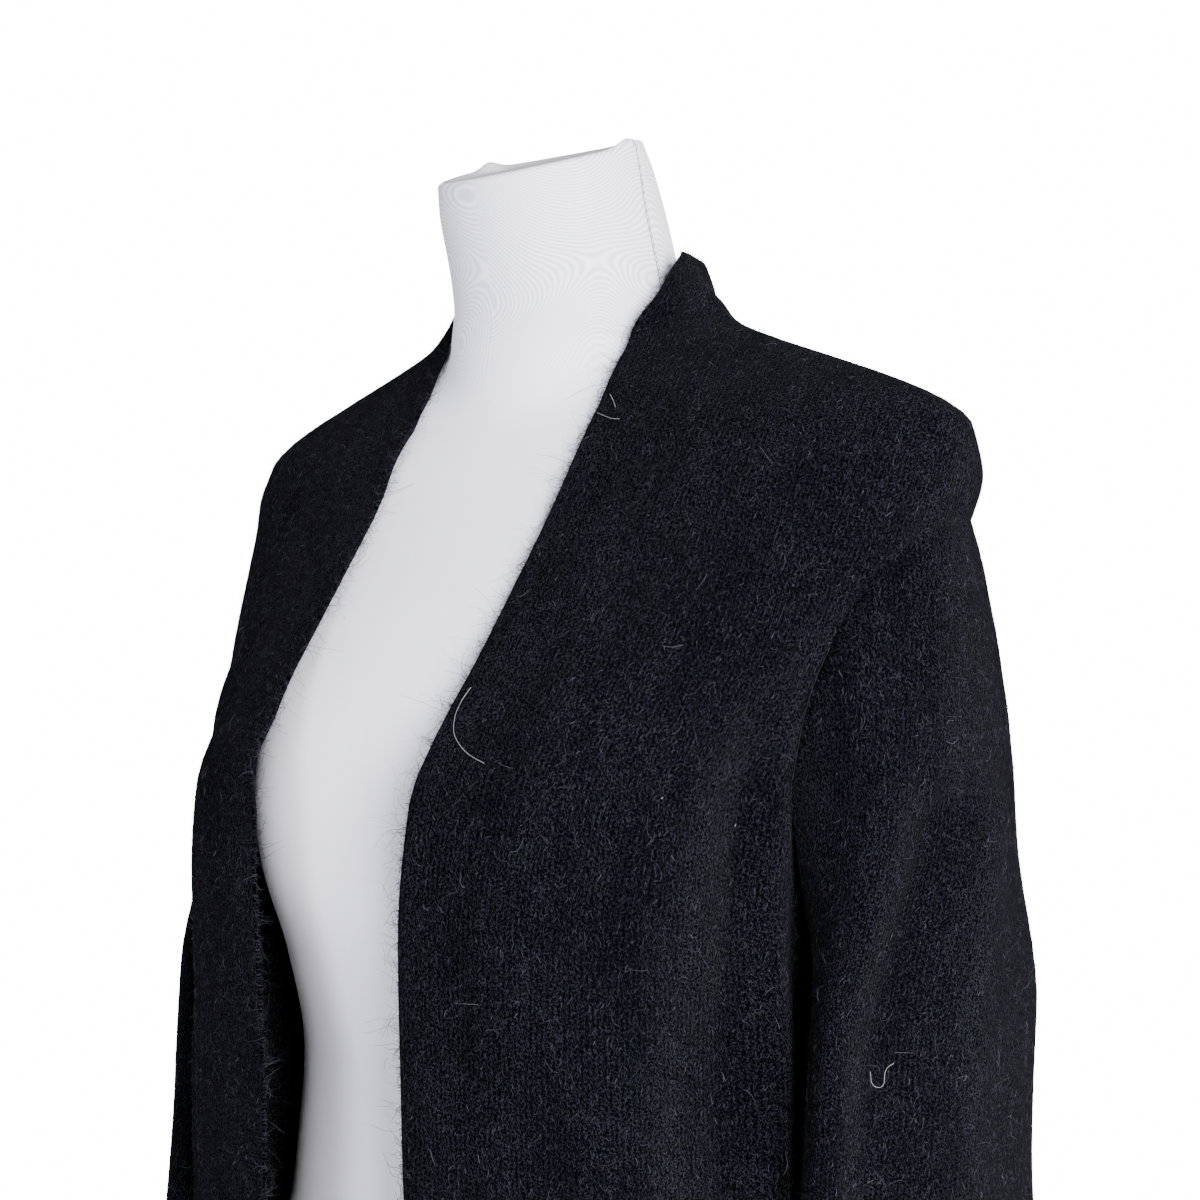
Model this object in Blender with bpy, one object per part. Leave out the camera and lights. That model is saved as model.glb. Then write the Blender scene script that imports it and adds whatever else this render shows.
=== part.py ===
"""Open-front knitted cardigan on a limbless dress form with a pole and a round base.

+Z is up, the origin is under the middle of the base, the form faces -Y and the wearer's left is +X.
Sizes and tables are in centimetres, as a pattern maker writes them; CM turns them into metres.

An outline is written round the form: its angle is 0 at the wearer's side, -90 at the front middle
and 90 at the back middle, and it is mirrored for the wearer's right.
"""

import math

import bpy
import numpy as np

CM = 0.01


class Profile:
    """A table of sections by height, read along smooth curves that never overshoot its rows."""

    def __init__(self, columns, rows):
        table = np.array(rows, dtype=float)
        self.heights = table[:, 0]
        self.columns = columns[1:]
        self.values = table[:, 1:]
        self.steps = np.diff(self.heights)
        slopes = np.diff(self.values, axis=0) / self.steps[:, None]
        self.tangents = np.vstack((slopes[:1], slopes[:-1] * 0, slopes[-1:]))
        for i in range(1, len(self.heights) - 1):
            before, after = slopes[i - 1], slopes[i]
            w1 = 2 * self.steps[i] + self.steps[i - 1]
            w2 = self.steps[i] + 2 * self.steps[i - 1]
            for k in np.nonzero(before * after > 0)[0]:
                self.tangents[i, k] = (w1 + w2) / (w1 / before[k] + w2 / after[k])
        self.known = {}

    def read(self, height):
        """All the columns' values at a height."""
        if height not in self.known:
            h = self.heights
            z = min(max(height, h[0]), h[-1])
            i = min(int(np.searchsorted(h, z, side="right")) - 1, len(h) - 2)
            step = self.steps[i]
            u = (z - h[i]) / step
            start = (1 + 2 * u) * (1 - u) ** 2 * self.values[i] + u * (1 - u) ** 2 * step * self.tangents[i]
            end = u * u * (3 - 2 * u) * self.values[i + 1] + u * u * (u - 1) * step * self.tangents[i + 1]
            self.known[height] = tuple(start + end)
        return self.known[height]


# Cloth and seams.
WALL = 0.25
SEAM_GAP = 0.042
REST_GAP = 0.36
ARMPIT = 119.0
ARMHOLE_TOP = 131.0

# The armhole, as angles round the body. The side and shoulder seams run through its middle.
SEAM_ANGLE = 10.0
ARMHOLE_HALF_ANGLE = 24.0
ARMHOLE_POWER = 3.0
ARMHOLE_COLUMNS = 7
CORNER_SHARE = 0.999
FRONT_COLUMNS = 11
BACK_COLUMNS = 22
UNDERARM_COLUMNS = 6
UNDERARM_GAP = 0.28
HEAD_SQUARENESS = 2.6

# Rows of the body below the armpit, level rows above the shoulder point, and rows between them.
BODY_ROWS = (62.0, 66.0, 71.0, 77.0, 83.0, 89.0, 95.0, 100.0, 104.0, 108.0, 112.0, 115.5, 119.0)
EASE_BLEND = 0.4
EASE_TOP = 137.0
YOKE_ROWS = 4
EDGE_MERGE = 1.6
BAND_COLUMNS = 20
SLEEVE_ROWS = (79.0, 83.0, 88.0, 93.0, 98.0, 103.0, 107.0)
SLEEVE_HEAD_ROWS = 6
SHOULDER_ROWS = (132.0, 133.4, 134.6, 135.6, 136.4, 137.3, 138.5, 139.9, 140.9, 142.0)
STAND_ROWS = (142.0, 143.0, 144.0, 144.9)

# The dress form: level sections of the torso and shoulders.
TORSO = Profile(("height", "half_width", "centre_y", "front", "back", "power"), (
    (74.0, 15.8, 0.6, 10.8, 11.4, 2.2),
    (84.0, 16.6, 0.6, 11.4, 12.0, 2.2),
    (92.0, 15.8, 0.5, 11.3, 11.0, 2.1),
    (98.0, 14.4, 0.3, 10.8, 9.8, 2.1),
    (104.0, 13.7, 0.0, 10.6, 9.2, 2.0),
    (109.0, 14.2, 0.0, 11.6, 9.3, 2.0),
    (114.0, 15.1, 0.2, 12.8, 9.8, 2.0),
    (118.0, 15.7, 0.5, 12.8, 10.2, 2.0),
    (122.0, 16.6, 1.0, 12.8, 10.4, 2.1),
    (126.0, 18.6, 1.7, 11.8, 10.6, 2.1),
    (130.0, 20.8, 2.5, 9.9, 10.0, 2.1),
    (133.0, 21.9, 3.1, 8.5, 9.0, 2.1),
    (135.0, 21.7, 3.1, 7.3, 8.0, 2.0),
    (136.0, 20.6, 3.0, 6.4, 7.2, 2.0),
    (137.1, 18.4, 2.7, 5.5, 6.5, 1.9),
    (138.2, 15.6, 2.4, 4.5, 5.7, 1.8),
    (139.5, 12.0, 2.2, 3.4, 4.6, 1.8),
    (140.7, 9.1, 2.1, 2.6, 3.5, 1.8),
    (142.2, 6.8, 2.1, 1.7, 2.6, 1.8),
    (144.0, 4.5, 2.1, 1.2, 2.0, 1.8),
    (150.0, 1.0, 2.1, 1.0, 1.0, 1.8),
))

# The neck rises inside the shoulders; its sections lean forward by tilt degrees.
NECK = Profile(("height", "radius", "centre_y", "tilt"), (
    (74.0, 1.0, 0.0, 0.0),
    (126.0, 2.0, 1.0, 0.0),
    (134.0, 5.2, 1.8, 0.0),
    (138.0, 6.0, 2.0, 1.0),
    (140.7, 6.1, 2.1, 3.0),
    (142.2, 6.0, 2.1, 6.0),
    (143.8, 5.8, 1.8, 10.0),
    (146.0, 5.65, 1.1, 15.0),
    (148.0, 5.5, 0.3, 19.0),
    (149.4, 5.25, -0.2, 18.5),
))
NECK_BLEND = 7.0
NECK_TAKES_OVER = (138.0, 144.0)

BUST_SIDE = 8.2
BUST_HEIGHT = 117.5
BUST_DEPTH = 1.6
BUST_WIDTH = 4.6
BUST_RISE = 5.5

# The cardigan's body where it hangs free of the form.
DRAPE = Profile(("height", "half_width", "centre_y", "front", "back", "power"), (
    (62.0, 18.6, 0.0, 14.9, 14.6, 2.6),
    (80.0, 18.0, 0.0, 15.0, 14.2, 2.7),
    (92.0, 17.5, 0.0, 15.0, 13.8, 2.8),
    (104.0, 17.1, 0.0, 15.2, 13.2, 3.0),
    (112.0, 16.9, 0.0, 15.6, 12.7, 3.0),
    (118.0, 17.0, 0.4, 16.0, 12.4, 2.8),
    (122.0, 18.2, 1.0, 14.7, 12.2, 2.4),
    (126.0, 20.0, 1.7, 12.6, 11.8, 2.2),
    (130.0, 21.6, 2.5, 10.2, 10.8, 2.1),
    (133.0, 22.1, 3.1, 8.4, 9.4, 2.1),
    (135.0, 20.6, 3.1, 6.0, 7.0, 2.0),
    (137.0, 15.0, 2.7, 3.0, 5.0, 2.0),
    (140.0, 10.0, 2.1, 2.0, 3.0, 2.0),
    (145.0, 4.0, 2.1, 1.0, 1.0, 2.0),
))

# How far the sleeve head stands out from that body, inside the armhole.
SLEEVE_HEAD = Profile(("height", "depth", "roundness"), (
    (119.0, 6.0, 0.45),
    (122.0, 4.9, 0.50),
    (125.0, 3.4, 0.60),
    (128.0, 1.7, 0.80),
    (131.0, 0.0, 1.00),
))

# The hanging sleeve as level ovals.
SLEEVE = Profile(("height", "centre_x", "centre_y", "half_width", "half_depth"), (
    (79.0, 21.9, 2.0, 2.9, 9.1),
    (90.0, 21.3, 2.3, 3.0, 9.5),
    (101.0, 20.7, 2.5, 3.0, 9.6),
    (110.0, 20.35, 3.05, 2.95, 9.15),
    (119.0, 20.1, 3.3, 2.9, 8.6),
))
SLEEVE_OUTER_ANGLE = 140.0
SLEEVE_SETTLE = 12.0

# The front edge's place, seen from the front and the side.
EDGE = Profile(("height", "x", "y"), (
    (62.0, 4.8, -14.4),
    (98.0, 4.5, -14.7),
    (112.0, 4.75, -15.3),
    (118.0, 5.45, -15.3),
    (122.0, 5.95, -13.3),
    (128.0, 6.1, -8.9),
    (134.0, 6.1, -4.8),
    (138.0, 6.15, -2.1),
    (140.0, 6.2, -0.7),
    (141.2, 6.5, -0.1),
    (142.4, 6.8, 0.8),
    (143.6, 7.0, 1.9),
    (144.9, 7.0, 3.0),
))

# How far the cloth is lifted off the form at the shoulder point and in the neck stand.
LIFT = Profile(("height", "ease"), (
    (131.0, 0.0),
    (134.0, 0.2),
    (136.0, 0.2),
    (137.6, 0.08),
    (140.2, 0.12),
    (142.0, 1.25),
    (143.4, 1.15),
    (144.9, 0.75),
))

# Long soft folds. A positive depth stands out and a negative one is a trough.
FOLD_COLUMNS = ("side", "top", "bottom", "top_angle", "bottom_angle", "half_angle", "depth")
FOLDS = (
    (1, 124.0, 64.0, -15.0, -18.0, 3.5, 0.35),
    (1, 124.0, 100.0, -20.5, -23.0, 3.5, -0.45),
    (1, 114.0, 60.0, -29.5, -31.0, 4.5, -0.60),
    (1, 122.0, 66.0, -36.0, -40.0, 6.5, 0.30),
    (1, 108.0, 58.0, -49.0, -51.0, 5.0, -0.50),
    (-1, 128.0, 118.0, -52.0, -24.0, 5.0, 0.35),
    (-1, 116.0, 60.0, -27.0, -30.0, 5.0, -0.60),
    (-1, 110.0, 60.0, -44.0, -47.0, 5.5, -0.50),
    (1, 118.0, 60.0, 38.0, 36.0, 6.0, -0.70),
    (1, 122.0, 60.0, 62.0, 60.0, 7.0, -0.60),
    (-1, 120.0, 60.0, 42.0, 39.0, 6.5, -0.65),
    (-1, 116.0, 60.0, 70.0, 71.0, 6.0, -0.55),
)
SLEEVE_FOLDS = (
    (1, 126.0, 82.0, -60.0, -66.0, 18.0, 0.30),
    (1, 122.0, 84.0, -20.0, -28.0, 16.0, -0.40),
    (1, 112.0, 80.0, 40.0, 52.0, 18.0, -0.40),
    (-1, 124.0, 82.0, -24.0, -36.0, 17.0, -0.40),
    (-1, 114.0, 80.0, 46.0, 38.0, 18.0, -0.35),
)
FOLD_FADE = 7.0

FORM_BOTTOM = 74.0
FORM_TOP = 149.4
FORM_STEPS = 44
FORM_ROWS = 34
TOP_ROUND = 0.25
TOP_INSET = 0.06
FIT_GAP = 0.03

POLE_RADIUS = 1.6
POLE_SIDES = 28
BASE_RADIUS = 17.0
BASE_THICK = 1.0
BASE_BEVEL = 0.25
BASE_SIDES = 56
SOCKET_RADIUS = 2.6
SOCKET_HEIGHT = 3.2
SHARP_ANGLE = 35.0

KNIT_COLOUR = (0.014, 0.015, 0.019)
COVER_COLOUR = (0.80, 0.80, 0.82)
STEEL_COLOUR = (0.60, 0.60, 0.62)


def smoothstep(low, high, value):
    u = min(max((value - low) / (high - low), 0.0), 1.0)
    return u * u * (3 - 2 * u)


def superellipse_reach(angle, half_width, front, back, power):
    """Distance from the centre to a rounded section's edge, at an angle in radians."""
    depth = back if math.sin(angle) >= 0 else front
    across = abs(math.cos(angle)) / half_width
    along = abs(math.sin(angle)) / depth
    return (across ** power + along ** power) ** (-1.0 / power)


def form_point(degrees, height):
    """A point of the dress form, for its left half."""
    angle = math.radians(degrees)
    half_width, centre, front, back, power = TORSO.read(height)
    torso = superellipse_reach(angle, half_width, front, back, power)
    if degrees < 0:
        x = torso * math.cos(angle)
        rise = (height - BUST_HEIGHT) / BUST_RISE
        for side in (BUST_SIDE, -BUST_SIDE):
            bump = BUST_DEPTH * math.exp(-((x - side) / BUST_WIDTH) ** 2 - rise * rise)
            torso -= bump * math.sin(angle)
    neck, neck_centre, tilt = NECK.read(height)
    lean = math.radians(tilt)
    reach = (torso ** NECK_BLEND + neck ** NECK_BLEND) ** (1.0 / NECK_BLEND)
    middle = centre + (neck_centre - centre) * smoothstep(*NECK_TAKES_OVER, height)
    along = reach * math.sin(angle)
    up = height + along * math.sin(lean)
    return np.array((reach * math.cos(angle), middle + along * math.cos(lean), up))


def surface_normal(surface, degrees, height, rise):
    """The direction straight out of a surface that is drawn by angle and height."""
    turn = 0.4
    across = surface(degrees + turn, height) - surface(degrees - turn, height)
    up = surface(degrees, height + rise) - surface(degrees, height - rise)
    normal = np.cross(across, up)
    return normal / np.linalg.norm(normal)


def form_rest(degrees, height):
    """The same point moved straight out from the form, where cloth rests on it."""
    return form_point(degrees, height) + REST_GAP * surface_normal(form_point, degrees, height, 0.05)


def armhole_share(degrees):
    """-1 at the armhole's front corner, 0 at the seam line and 1 at its back corner."""
    return (degrees - SEAM_ANGLE) / ARMHOLE_HALF_ANGLE


def armhole_height(degrees):
    share = min(abs(armhole_share(degrees)), 1.0)
    return ARMPIT + (ARMHOLE_TOP - ARMPIT) * (1 - share ** ARMHOLE_POWER) ** (1 / ARMHOLE_POWER)


def fold_depth(table, side, degrees, height):
    total = 0.0
    for row in table:
        fold = dict(zip(FOLD_COLUMNS, row))
        if fold["side"] != side:
            continue
        down = (fold["top"] - height) / (fold["top"] - fold["bottom"])
        centre = fold["top_angle"] + (fold["bottom_angle"] - fold["top_angle"]) * min(max(down, 0.0), 1.0)
        fade = smoothstep(fold["top"], fold["top"] - FOLD_FADE, height)
        fade *= smoothstep(fold["bottom"] - FOLD_FADE, fold["bottom"], height)
        total += fold["depth"] * fade * math.exp(-((degrees - centre) / fold["half_angle"]) ** 2)
    return total


def sleeve_head(degrees, height):
    """How far the cloth stands out from the body inside the armhole."""
    rise = (height - ARMPIT) / (ARMHOLE_TOP - ARMPIT)
    half = ARMHOLE_HALF_ANGLE * max(1 - max(rise, 0.0) ** ARMHOLE_POWER, 0.0) ** (1 / ARMHOLE_POWER)
    away = abs(degrees - SEAM_ANGLE)
    if away >= half:
        return 0.0
    depth, roundness = SLEEVE_HEAD.read(height)
    return depth * (1 - (away / half) ** HEAD_SQUARENESS) ** roundness


def body_point(side, degrees, height, head=False):
    """A point of the cardigan's outer face; head adds the sleeve's own fullness."""
    rest = form_rest(degrees, height)
    angle = math.radians(degrees)
    half_width, centre, front, back, power = DRAPE.read(height)
    drape = superellipse_reach(angle, half_width, front, back, power)
    outward = np.array((math.cos(angle), math.sin(angle), 0.0))
    spare = drape - float(np.dot(rest - np.array((0.0, centre, 0.0)), outward))
    ease = 0.5 * (spare + math.sqrt(spare * spare + EASE_BLEND * EASE_BLEND))
    ease *= 1 - smoothstep(SHOULDER_ROWS[0], EASE_TOP, height)
    ease += LIFT.read(height)[0]
    fold = fold_depth(FOLDS, side, degrees, height)
    if head:
        fold += sleeve_head(degrees, height)
    point = rest + (ease + fold) * outward
    return np.array((side * point[0], point[1], point[2]))


def body_normal(side, degrees, height):
    normal = surface_normal(lambda a, h: body_point(side, a, h), degrees, height, 0.15)
    return side * normal


def edge_angle(height):
    x, y = EDGE.read(height)
    return math.degrees(math.atan2(y - DRAPE.read(height)[1], x))


def armhole_angles(start, end):
    """Angles of the armhole's columns, closer together towards its corners."""
    steps = np.linspace(start, end, ARMHOLE_COLUMNS)
    return [SEAM_ANGLE + ARMHOLE_HALF_ANGLE * math.sin(math.pi / 2 * s) for s in steps]


def add_material(ob, name, colour, roughness, metallic=0.0):
    material = bpy.data.materials.new(name)
    material.use_nodes = True
    shader = material.node_tree.nodes["Principled BSDF"]
    shader.inputs["Base Color"].default_value = (*colour, 1.0)
    shader.inputs["Roughness"].default_value = roughness
    shader.inputs["Metallic"].default_value = metallic
    material.diffuse_color = (*colour, 1.0)
    ob.data.materials.append(material)


def add_object(name, points, faces):
    mesh = bpy.data.meshes.new(name)
    mesh.from_pydata([tuple(CM * float(v) for v in p) for p in points], [], faces)
    ob = bpy.data.objects.new(name, mesh)
    bpy.context.collection.objects.link(ob)
    mesh.shade_smooth()
    return ob


class Sheet:
    """Cloth drawn as a grid of named places, each with its outer point and the direction out."""

    def __init__(self, mirror=False):
        self.points = []
        self.normals = []
        self.index = {}
        self.faces = []
        self.mirror = mirror

    def place(self, key, point, normal=None):
        if key not in self.index:
            self.index[key] = len(self.points)
            self.points.append(np.asarray(point))
            self.normals.append(normal)

    def grid(self, keys):
        """Faces between rows of keys, each row running round the body and the next one above it."""
        for low, high in zip(keys, keys[1:]):
            for a, b, c, d in zip(low, low[1:], high[1:], high):
                corners = [self.index[k] for k in (a, b, c, d)]
                corners = [v for i, v in enumerate(corners) if v != corners[i - 1]]
                if len(corners) > 2:
                    self.faces.append(corners[::-1] if self.mirror else corners)

    def mesh_normals(self):
        """Directions out of the grid itself, for the places that were given none."""
        total = np.zeros((len(self.points), 3))
        for face in self.faces:
            a, b, c, d = (self.points[face[i % len(face)]] for i in (0, 1, 2, 3))
            total[face] += np.cross(c - a, d - b) if len(face) == 4 else np.cross(b - a, c - a)
        return total / np.linalg.norm(total, axis=1)[:, None]

    def border(self):
        """The edges that only one face uses, in that face's direction."""
        used = {(a, b) for face in self.faces for a, b in zip(face, face[1:] + face[:1])}
        return [(a, b) for a, b in used if (b, a) not in used]


def add_cloth(name, sheet):
    """Give the outer face its wall, inwards, and the knit's dark colour."""
    normals = sheet.mesh_normals()
    for i, normal in enumerate(sheet.normals):
        if normal is not None:
            normals[i] = normal
    count = len(sheet.points)
    points = sheet.points + [p - WALL * n for p, n in zip(sheet.points, normals)]
    faces = sheet.faces + [[v + count for v in face[::-1]] for face in sheet.faces]
    faces += [[b, a, a + count, b + count] for a, b in sorted(sheet.border())]
    ob = add_object(name, points, faces)
    add_material(ob, name + "_knit", KNIT_COLOUR, 0.95)
    return ob


class Column:
    """One column of a panel's grid: which side it is on and its angle at each height.

    trim is 1 or -1 where the column stands half a seam gap after or before its seam.
    """

    def __init__(self, side, start, share=1.0, trim=0):
        self.side = side
        self.start = start
        self.share = share
        self.trim = trim
        self.in_armhole = start is not None and abs(armhole_share(start)) < CORNER_SHARE

    def angle(self, height):
        if self.start is not None:
            reach = np.hypot(*form_point(self.start, height)[:2])
            return self.start + self.trim * math.degrees(SEAM_GAP / 2 / reach)
        edge = edge_angle(min(height, SHOULDER_ROWS[0]))
        corner = SEAM_ANGLE - ARMHOLE_HALF_ANGLE
        return edge + (corner - edge) * self.share

    def low(self):
        """Where the column starts again above the armhole."""
        return armhole_height(self.start) + SEAM_GAP / 2 if self.in_armhole else ARMPIT

    def place(self, sheet, key, height, edge=None):
        degrees = self.angle(height) if edge is None else edge
        sheet.place(key, body_point(self.side, degrees, height), body_normal(self.side, degrees, height))


def add_panel(name, columns, top_rows, mirror=False, has_edge=False):
    """Sew one panel's grid: below the armpit, beside and above the armhole, and over the shoulder."""
    sheet = Sheet(mirror)
    last = len(BODY_ROWS) - 1
    body = []
    for r, height in enumerate(BODY_ROWS):
        body.append([("body", r, c) for c in range(len(columns))])
        for c, strand in enumerate(columns):
            strand.place(sheet, ("body", r, c), height)
    sheet.grid(body)
    yoke = []
    for r in range(YOKE_ROWS + 1):
        row = []
        for c, strand in enumerate(columns):
            low = strand.low()
            height = low + (SHOULDER_ROWS[0] - low) * r / YOKE_ROWS
            key = ("body", last, c) if r == 0 and not strand.in_armhole else ("yoke", r, c)
            strand.place(sheet, key, height)
            row.append(key)
        yoke.append(row)
    for height in top_rows:
        row = []
        edge = edge_angle(height) if has_edge else -180.0
        for c, strand in enumerate(columns):
            passed = has_edge and (c == 0 or strand.angle(height) < edge + EDGE_MERGE)
            key = ("edge", height) if passed else ("top", height, c)
            strand.place(sheet, key, height, edge if passed else None)
            row.append(key)
        yoke.append(row)
    sheet.grid(yoke)
    return add_cloth(name, sheet)


def add_front(name, side):
    breadth = [Column(side, None, share) for share in np.linspace(0, 1, FRONT_COLUMNS + 1)[:-1]]
    armhole = [Column(side, a) for a in armhole_angles(-1, 0)]
    armhole[-1].trim = -1
    rows = SHOULDER_ROWS[1:] + STAND_ROWS[1:]
    add_panel(name, breadth + armhole, rows, mirror=side < 0, has_edge=True)


def back_columns(start_angles):
    """Columns from the left seam round the back to the right seam."""
    left = [Column(1, a) for a in start_angles]
    right = [Column(-1, a) for a in start_angles[-2::-1]]
    left[0].trim = right[-1].trim = 1
    return left + right


def add_back(name):
    corner = SEAM_ANGLE + ARMHOLE_HALF_ANGLE
    angles = armhole_angles(0, 1) + list(np.linspace(corner, 90.0, BACK_COLUMNS // 2 + 1))[1:]
    add_panel(name, back_columns(angles), SHOULDER_ROWS[1:])


def add_neck_band(name):
    """The stand of the back neck, which carries on from the fronts."""
    columns = back_columns(list(np.linspace(SEAM_ANGLE, 90.0, BAND_COLUMNS // 2 + 1)))
    sheet = Sheet()
    rows = []
    for height in (STAND_ROWS[0] + SEAM_GAP,) + STAND_ROWS[1:]:
        rows.append([(height, c) for c in range(len(columns))])
        for c, strand in enumerate(columns):
            strand.place(sheet, (height, c), height)
    sheet.grid(rows)
    return add_cloth(name, sheet)


def oval_point(share, inner, height):
    """A point of the hanging sleeve and the direction out of it, for its left side."""
    turn = SLEEVE_OUTER_ANGLE * share
    if inner:
        turn = 180.0 - (180.0 - SLEEVE_OUTER_ANGLE) * share
    angle = math.radians(turn)
    centre_x, centre_y, wide, deep = SLEEVE.read(height)
    out = np.array((math.cos(angle) / wide, math.sin(angle) / deep, 0.0))
    point = np.array((centre_x + wide * math.cos(angle), centre_y + deep * math.sin(angle), height))
    return point, out / np.linalg.norm(out), turn


def sleeve_point(side, share, inner, height, at_seam=False):
    """A point of the sleeve: the armhole's outline at the armpit, an oval further down.

    share runs from -1 at the armhole's front corner to 1 at its back corner, outside or inside.
    At the armhole's seam the sleeve has no fullness of its own.
    """
    half = ARMHOLE_HALF_ANGLE - math.degrees(SEAM_GAP / DRAPE.read(ARMPIT)[0])
    degrees = SEAM_ANGLE + half * math.sin(math.pi / 2 * share)
    level = max(height, ARMPIT)
    corner = abs(share) > CORNER_SHARE
    head = body_point(1, degrees, level, head=not (inner or corner or at_seam))
    if inner or corner:
        clear = SEAM_GAP + (UNDERARM_GAP - SEAM_GAP) * (1 - share ** 4)
        angle = math.radians(degrees)
        head = head + clear * np.array((math.cos(angle), math.sin(angle), 0.0))
    if height < ARMPIT:
        oval, out, turn = oval_point(share, inner, height)
        settled = smoothstep(ARMPIT, ARMPIT - SLEEVE_SETTLE, height)
        head[2] = height
        head = (1 - settled) * head + settled * oval
        fold = fold_depth(SLEEVE_FOLDS, side, turn if turn <= 180.0 else turn - 360.0, height)
        head = head + fold * out
    return np.array((side * head[0], head[1], head[2]))


def add_sleeve(name, side):
    sheet = Sheet(side < 0)
    outer = [(s, False) for s in np.linspace(-1, 1, 2 * ARMHOLE_COLUMNS - 1)]
    inner = [(s, True) for s in np.linspace(1, -1, UNDERARM_COLUMNS + 1)[1:-1]]
    ring = outer + inner
    rows = []
    for r, step in enumerate(SLEEVE_ROWS + tuple(range(1, SLEEVE_HEAD_ROWS + 1))):
        row = []
        for c, (share, is_inner) in enumerate(ring):
            height = step
            if r >= len(SLEEVE_ROWS):
                bend = SLEEVE_ROWS[-1]
                top = ARMPIT
                if not is_inner and abs(share) < CORNER_SHARE:
                    top = armhole_height(SEAM_ANGLE + ARMHOLE_HALF_ANGLE * math.sin(math.pi / 2 * share))
                    top -= SEAM_GAP / 2
                height = bend + (top - bend) * step / SLEEVE_HEAD_ROWS
            at_seam = r == len(SLEEVE_ROWS) + SLEEVE_HEAD_ROWS - 1
            sheet.place((r, c), sleeve_point(side, share, is_inner, height, at_seam))
            row.append((r, c))
        rows.append(row + row[:1])
    sheet.grid(rows)
    normals = sheet.mesh_normals()
    for c, (share, is_inner) in enumerate(ring):
        degrees = SEAM_ANGLE + ARMHOLE_HALF_ANGLE * math.sin(math.pi / 2 * share)
        if not is_inner and abs(share) < CORNER_SHARE:
            i = sheet.index[rows[-1][c]]
            high = armhole_height(degrees)
            level = smoothstep(ARMPIT, ARMHOLE_TOP, high)
            normal = (1 - level) * normals[i] + level * body_normal(side, degrees, high)
            sheet.normals[i] = normal / np.linalg.norm(normal)
    return add_cloth(name, sheet)


def add_form(name):
    """The torso and neck, one smooth solid with a flat underside and a flat, slanted neck top."""
    low, high = SHOULDER_ROWS[0], SHOULDER_ROWS[-1]
    heights = list(np.linspace(FORM_BOTTOM, low, FORM_ROWS // 2))
    heights += list(np.linspace(low, high, FORM_ROWS // 3 + 1))[1:]
    heights += list(np.linspace(high, FORM_TOP, FORM_ROWS // 5 + 1))[1:]
    half = FORM_STEPS // 2
    points = []
    for height in heights:
        for i in range(FORM_STEPS):
            turn = 360.0 * i / FORM_STEPS
            degrees = turn if turn <= 90 or turn >= 270 else 180 - turn
            point = form_point(degrees if degrees <= 90 else degrees - 360, height)
            mirrored = 90 < turn < 270
            points.append((-point[0] if mirrored else point[0], point[1], point[2]))
    rim = np.array(points[-FORM_STEPS:])
    centre = rim.mean(axis=0)
    normal = np.cross(rim[half] - rim[0], rim[-half // 2] - rim[0])
    normal *= np.sign(normal[2]) / np.linalg.norm(normal)
    points += list(rim * (1 - TOP_INSET) + centre * TOP_INSET + normal * TOP_ROUND)
    rows = len(heights) + 1
    faces = [list(range(FORM_STEPS))[::-1]]
    for r in range(rows - 1):
        for i in range(FORM_STEPS):
            j = (i + 1) % FORM_STEPS
            low_row, high_row = r * FORM_STEPS, (r + 1) * FORM_STEPS
            faces.append((low_row + i, low_row + j, high_row + j, high_row + i))
    faces.append(list(range((rows - 1) * FORM_STEPS, rows * FORM_STEPS)))
    ob = add_object(name, points, faces)
    add_material(ob, name + "_cover", COVER_COLOUR, 0.75)


def add_turned(name, outline, sides):
    """A turned piece on the vertical axis, from (radius, height) pairs that run up its outside."""
    points = []
    faces = []
    for radius, height in outline:
        for i in range(sides):
            turn = 2 * math.pi * i / sides
            points.append((radius * math.cos(turn), radius * math.sin(turn), height))
    for r in range(len(outline) - 1):
        for i in range(sides):
            j = (i + 1) % sides
            faces.append((r * sides + i, r * sides + j, (r + 1) * sides + j, (r + 1) * sides + i))
    faces.append(list(range(sides))[::-1])
    faces.append(list(range((len(outline) - 1) * sides, len(outline) * sides)))
    ob = add_object(name, points, faces)
    ob.data.set_sharp_from_angle(angle=math.radians(SHARP_ANGLE))
    add_material(ob, name + "_metal", STEEL_COLOUR, 0.35, 1.0)


def add_stand():
    foot = ((BASE_RADIUS, 0.0), (BASE_RADIUS, BASE_THICK - BASE_BEVEL),
            (BASE_RADIUS - BASE_BEVEL, BASE_THICK))
    add_turned("base", foot, BASE_SIDES)
    low = BASE_THICK + FIT_GAP
    socket = ((SOCKET_RADIUS, low), (SOCKET_RADIUS, low + SOCKET_HEIGHT - BASE_BEVEL),
              (SOCKET_RADIUS - BASE_BEVEL, low + SOCKET_HEIGHT))
    add_turned("socket", socket, POLE_SIDES)
    top = low + SOCKET_HEIGHT + FIT_GAP
    pole = ((POLE_RADIUS, top), (POLE_RADIUS, FORM_BOTTOM - FIT_GAP))
    add_turned("pole", pole, POLE_SIDES)


for old in list(bpy.data.objects):
    bpy.data.objects.remove(old, do_unlink=True)

add_stand()
add_form("dress_form")
add_back("back")
for word, side in (("left", 1), ("right", -1)):
    add_front("front_" + word, side)
    add_sleeve("sleeve_" + word, side)
add_neck_band("neck_band")
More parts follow.
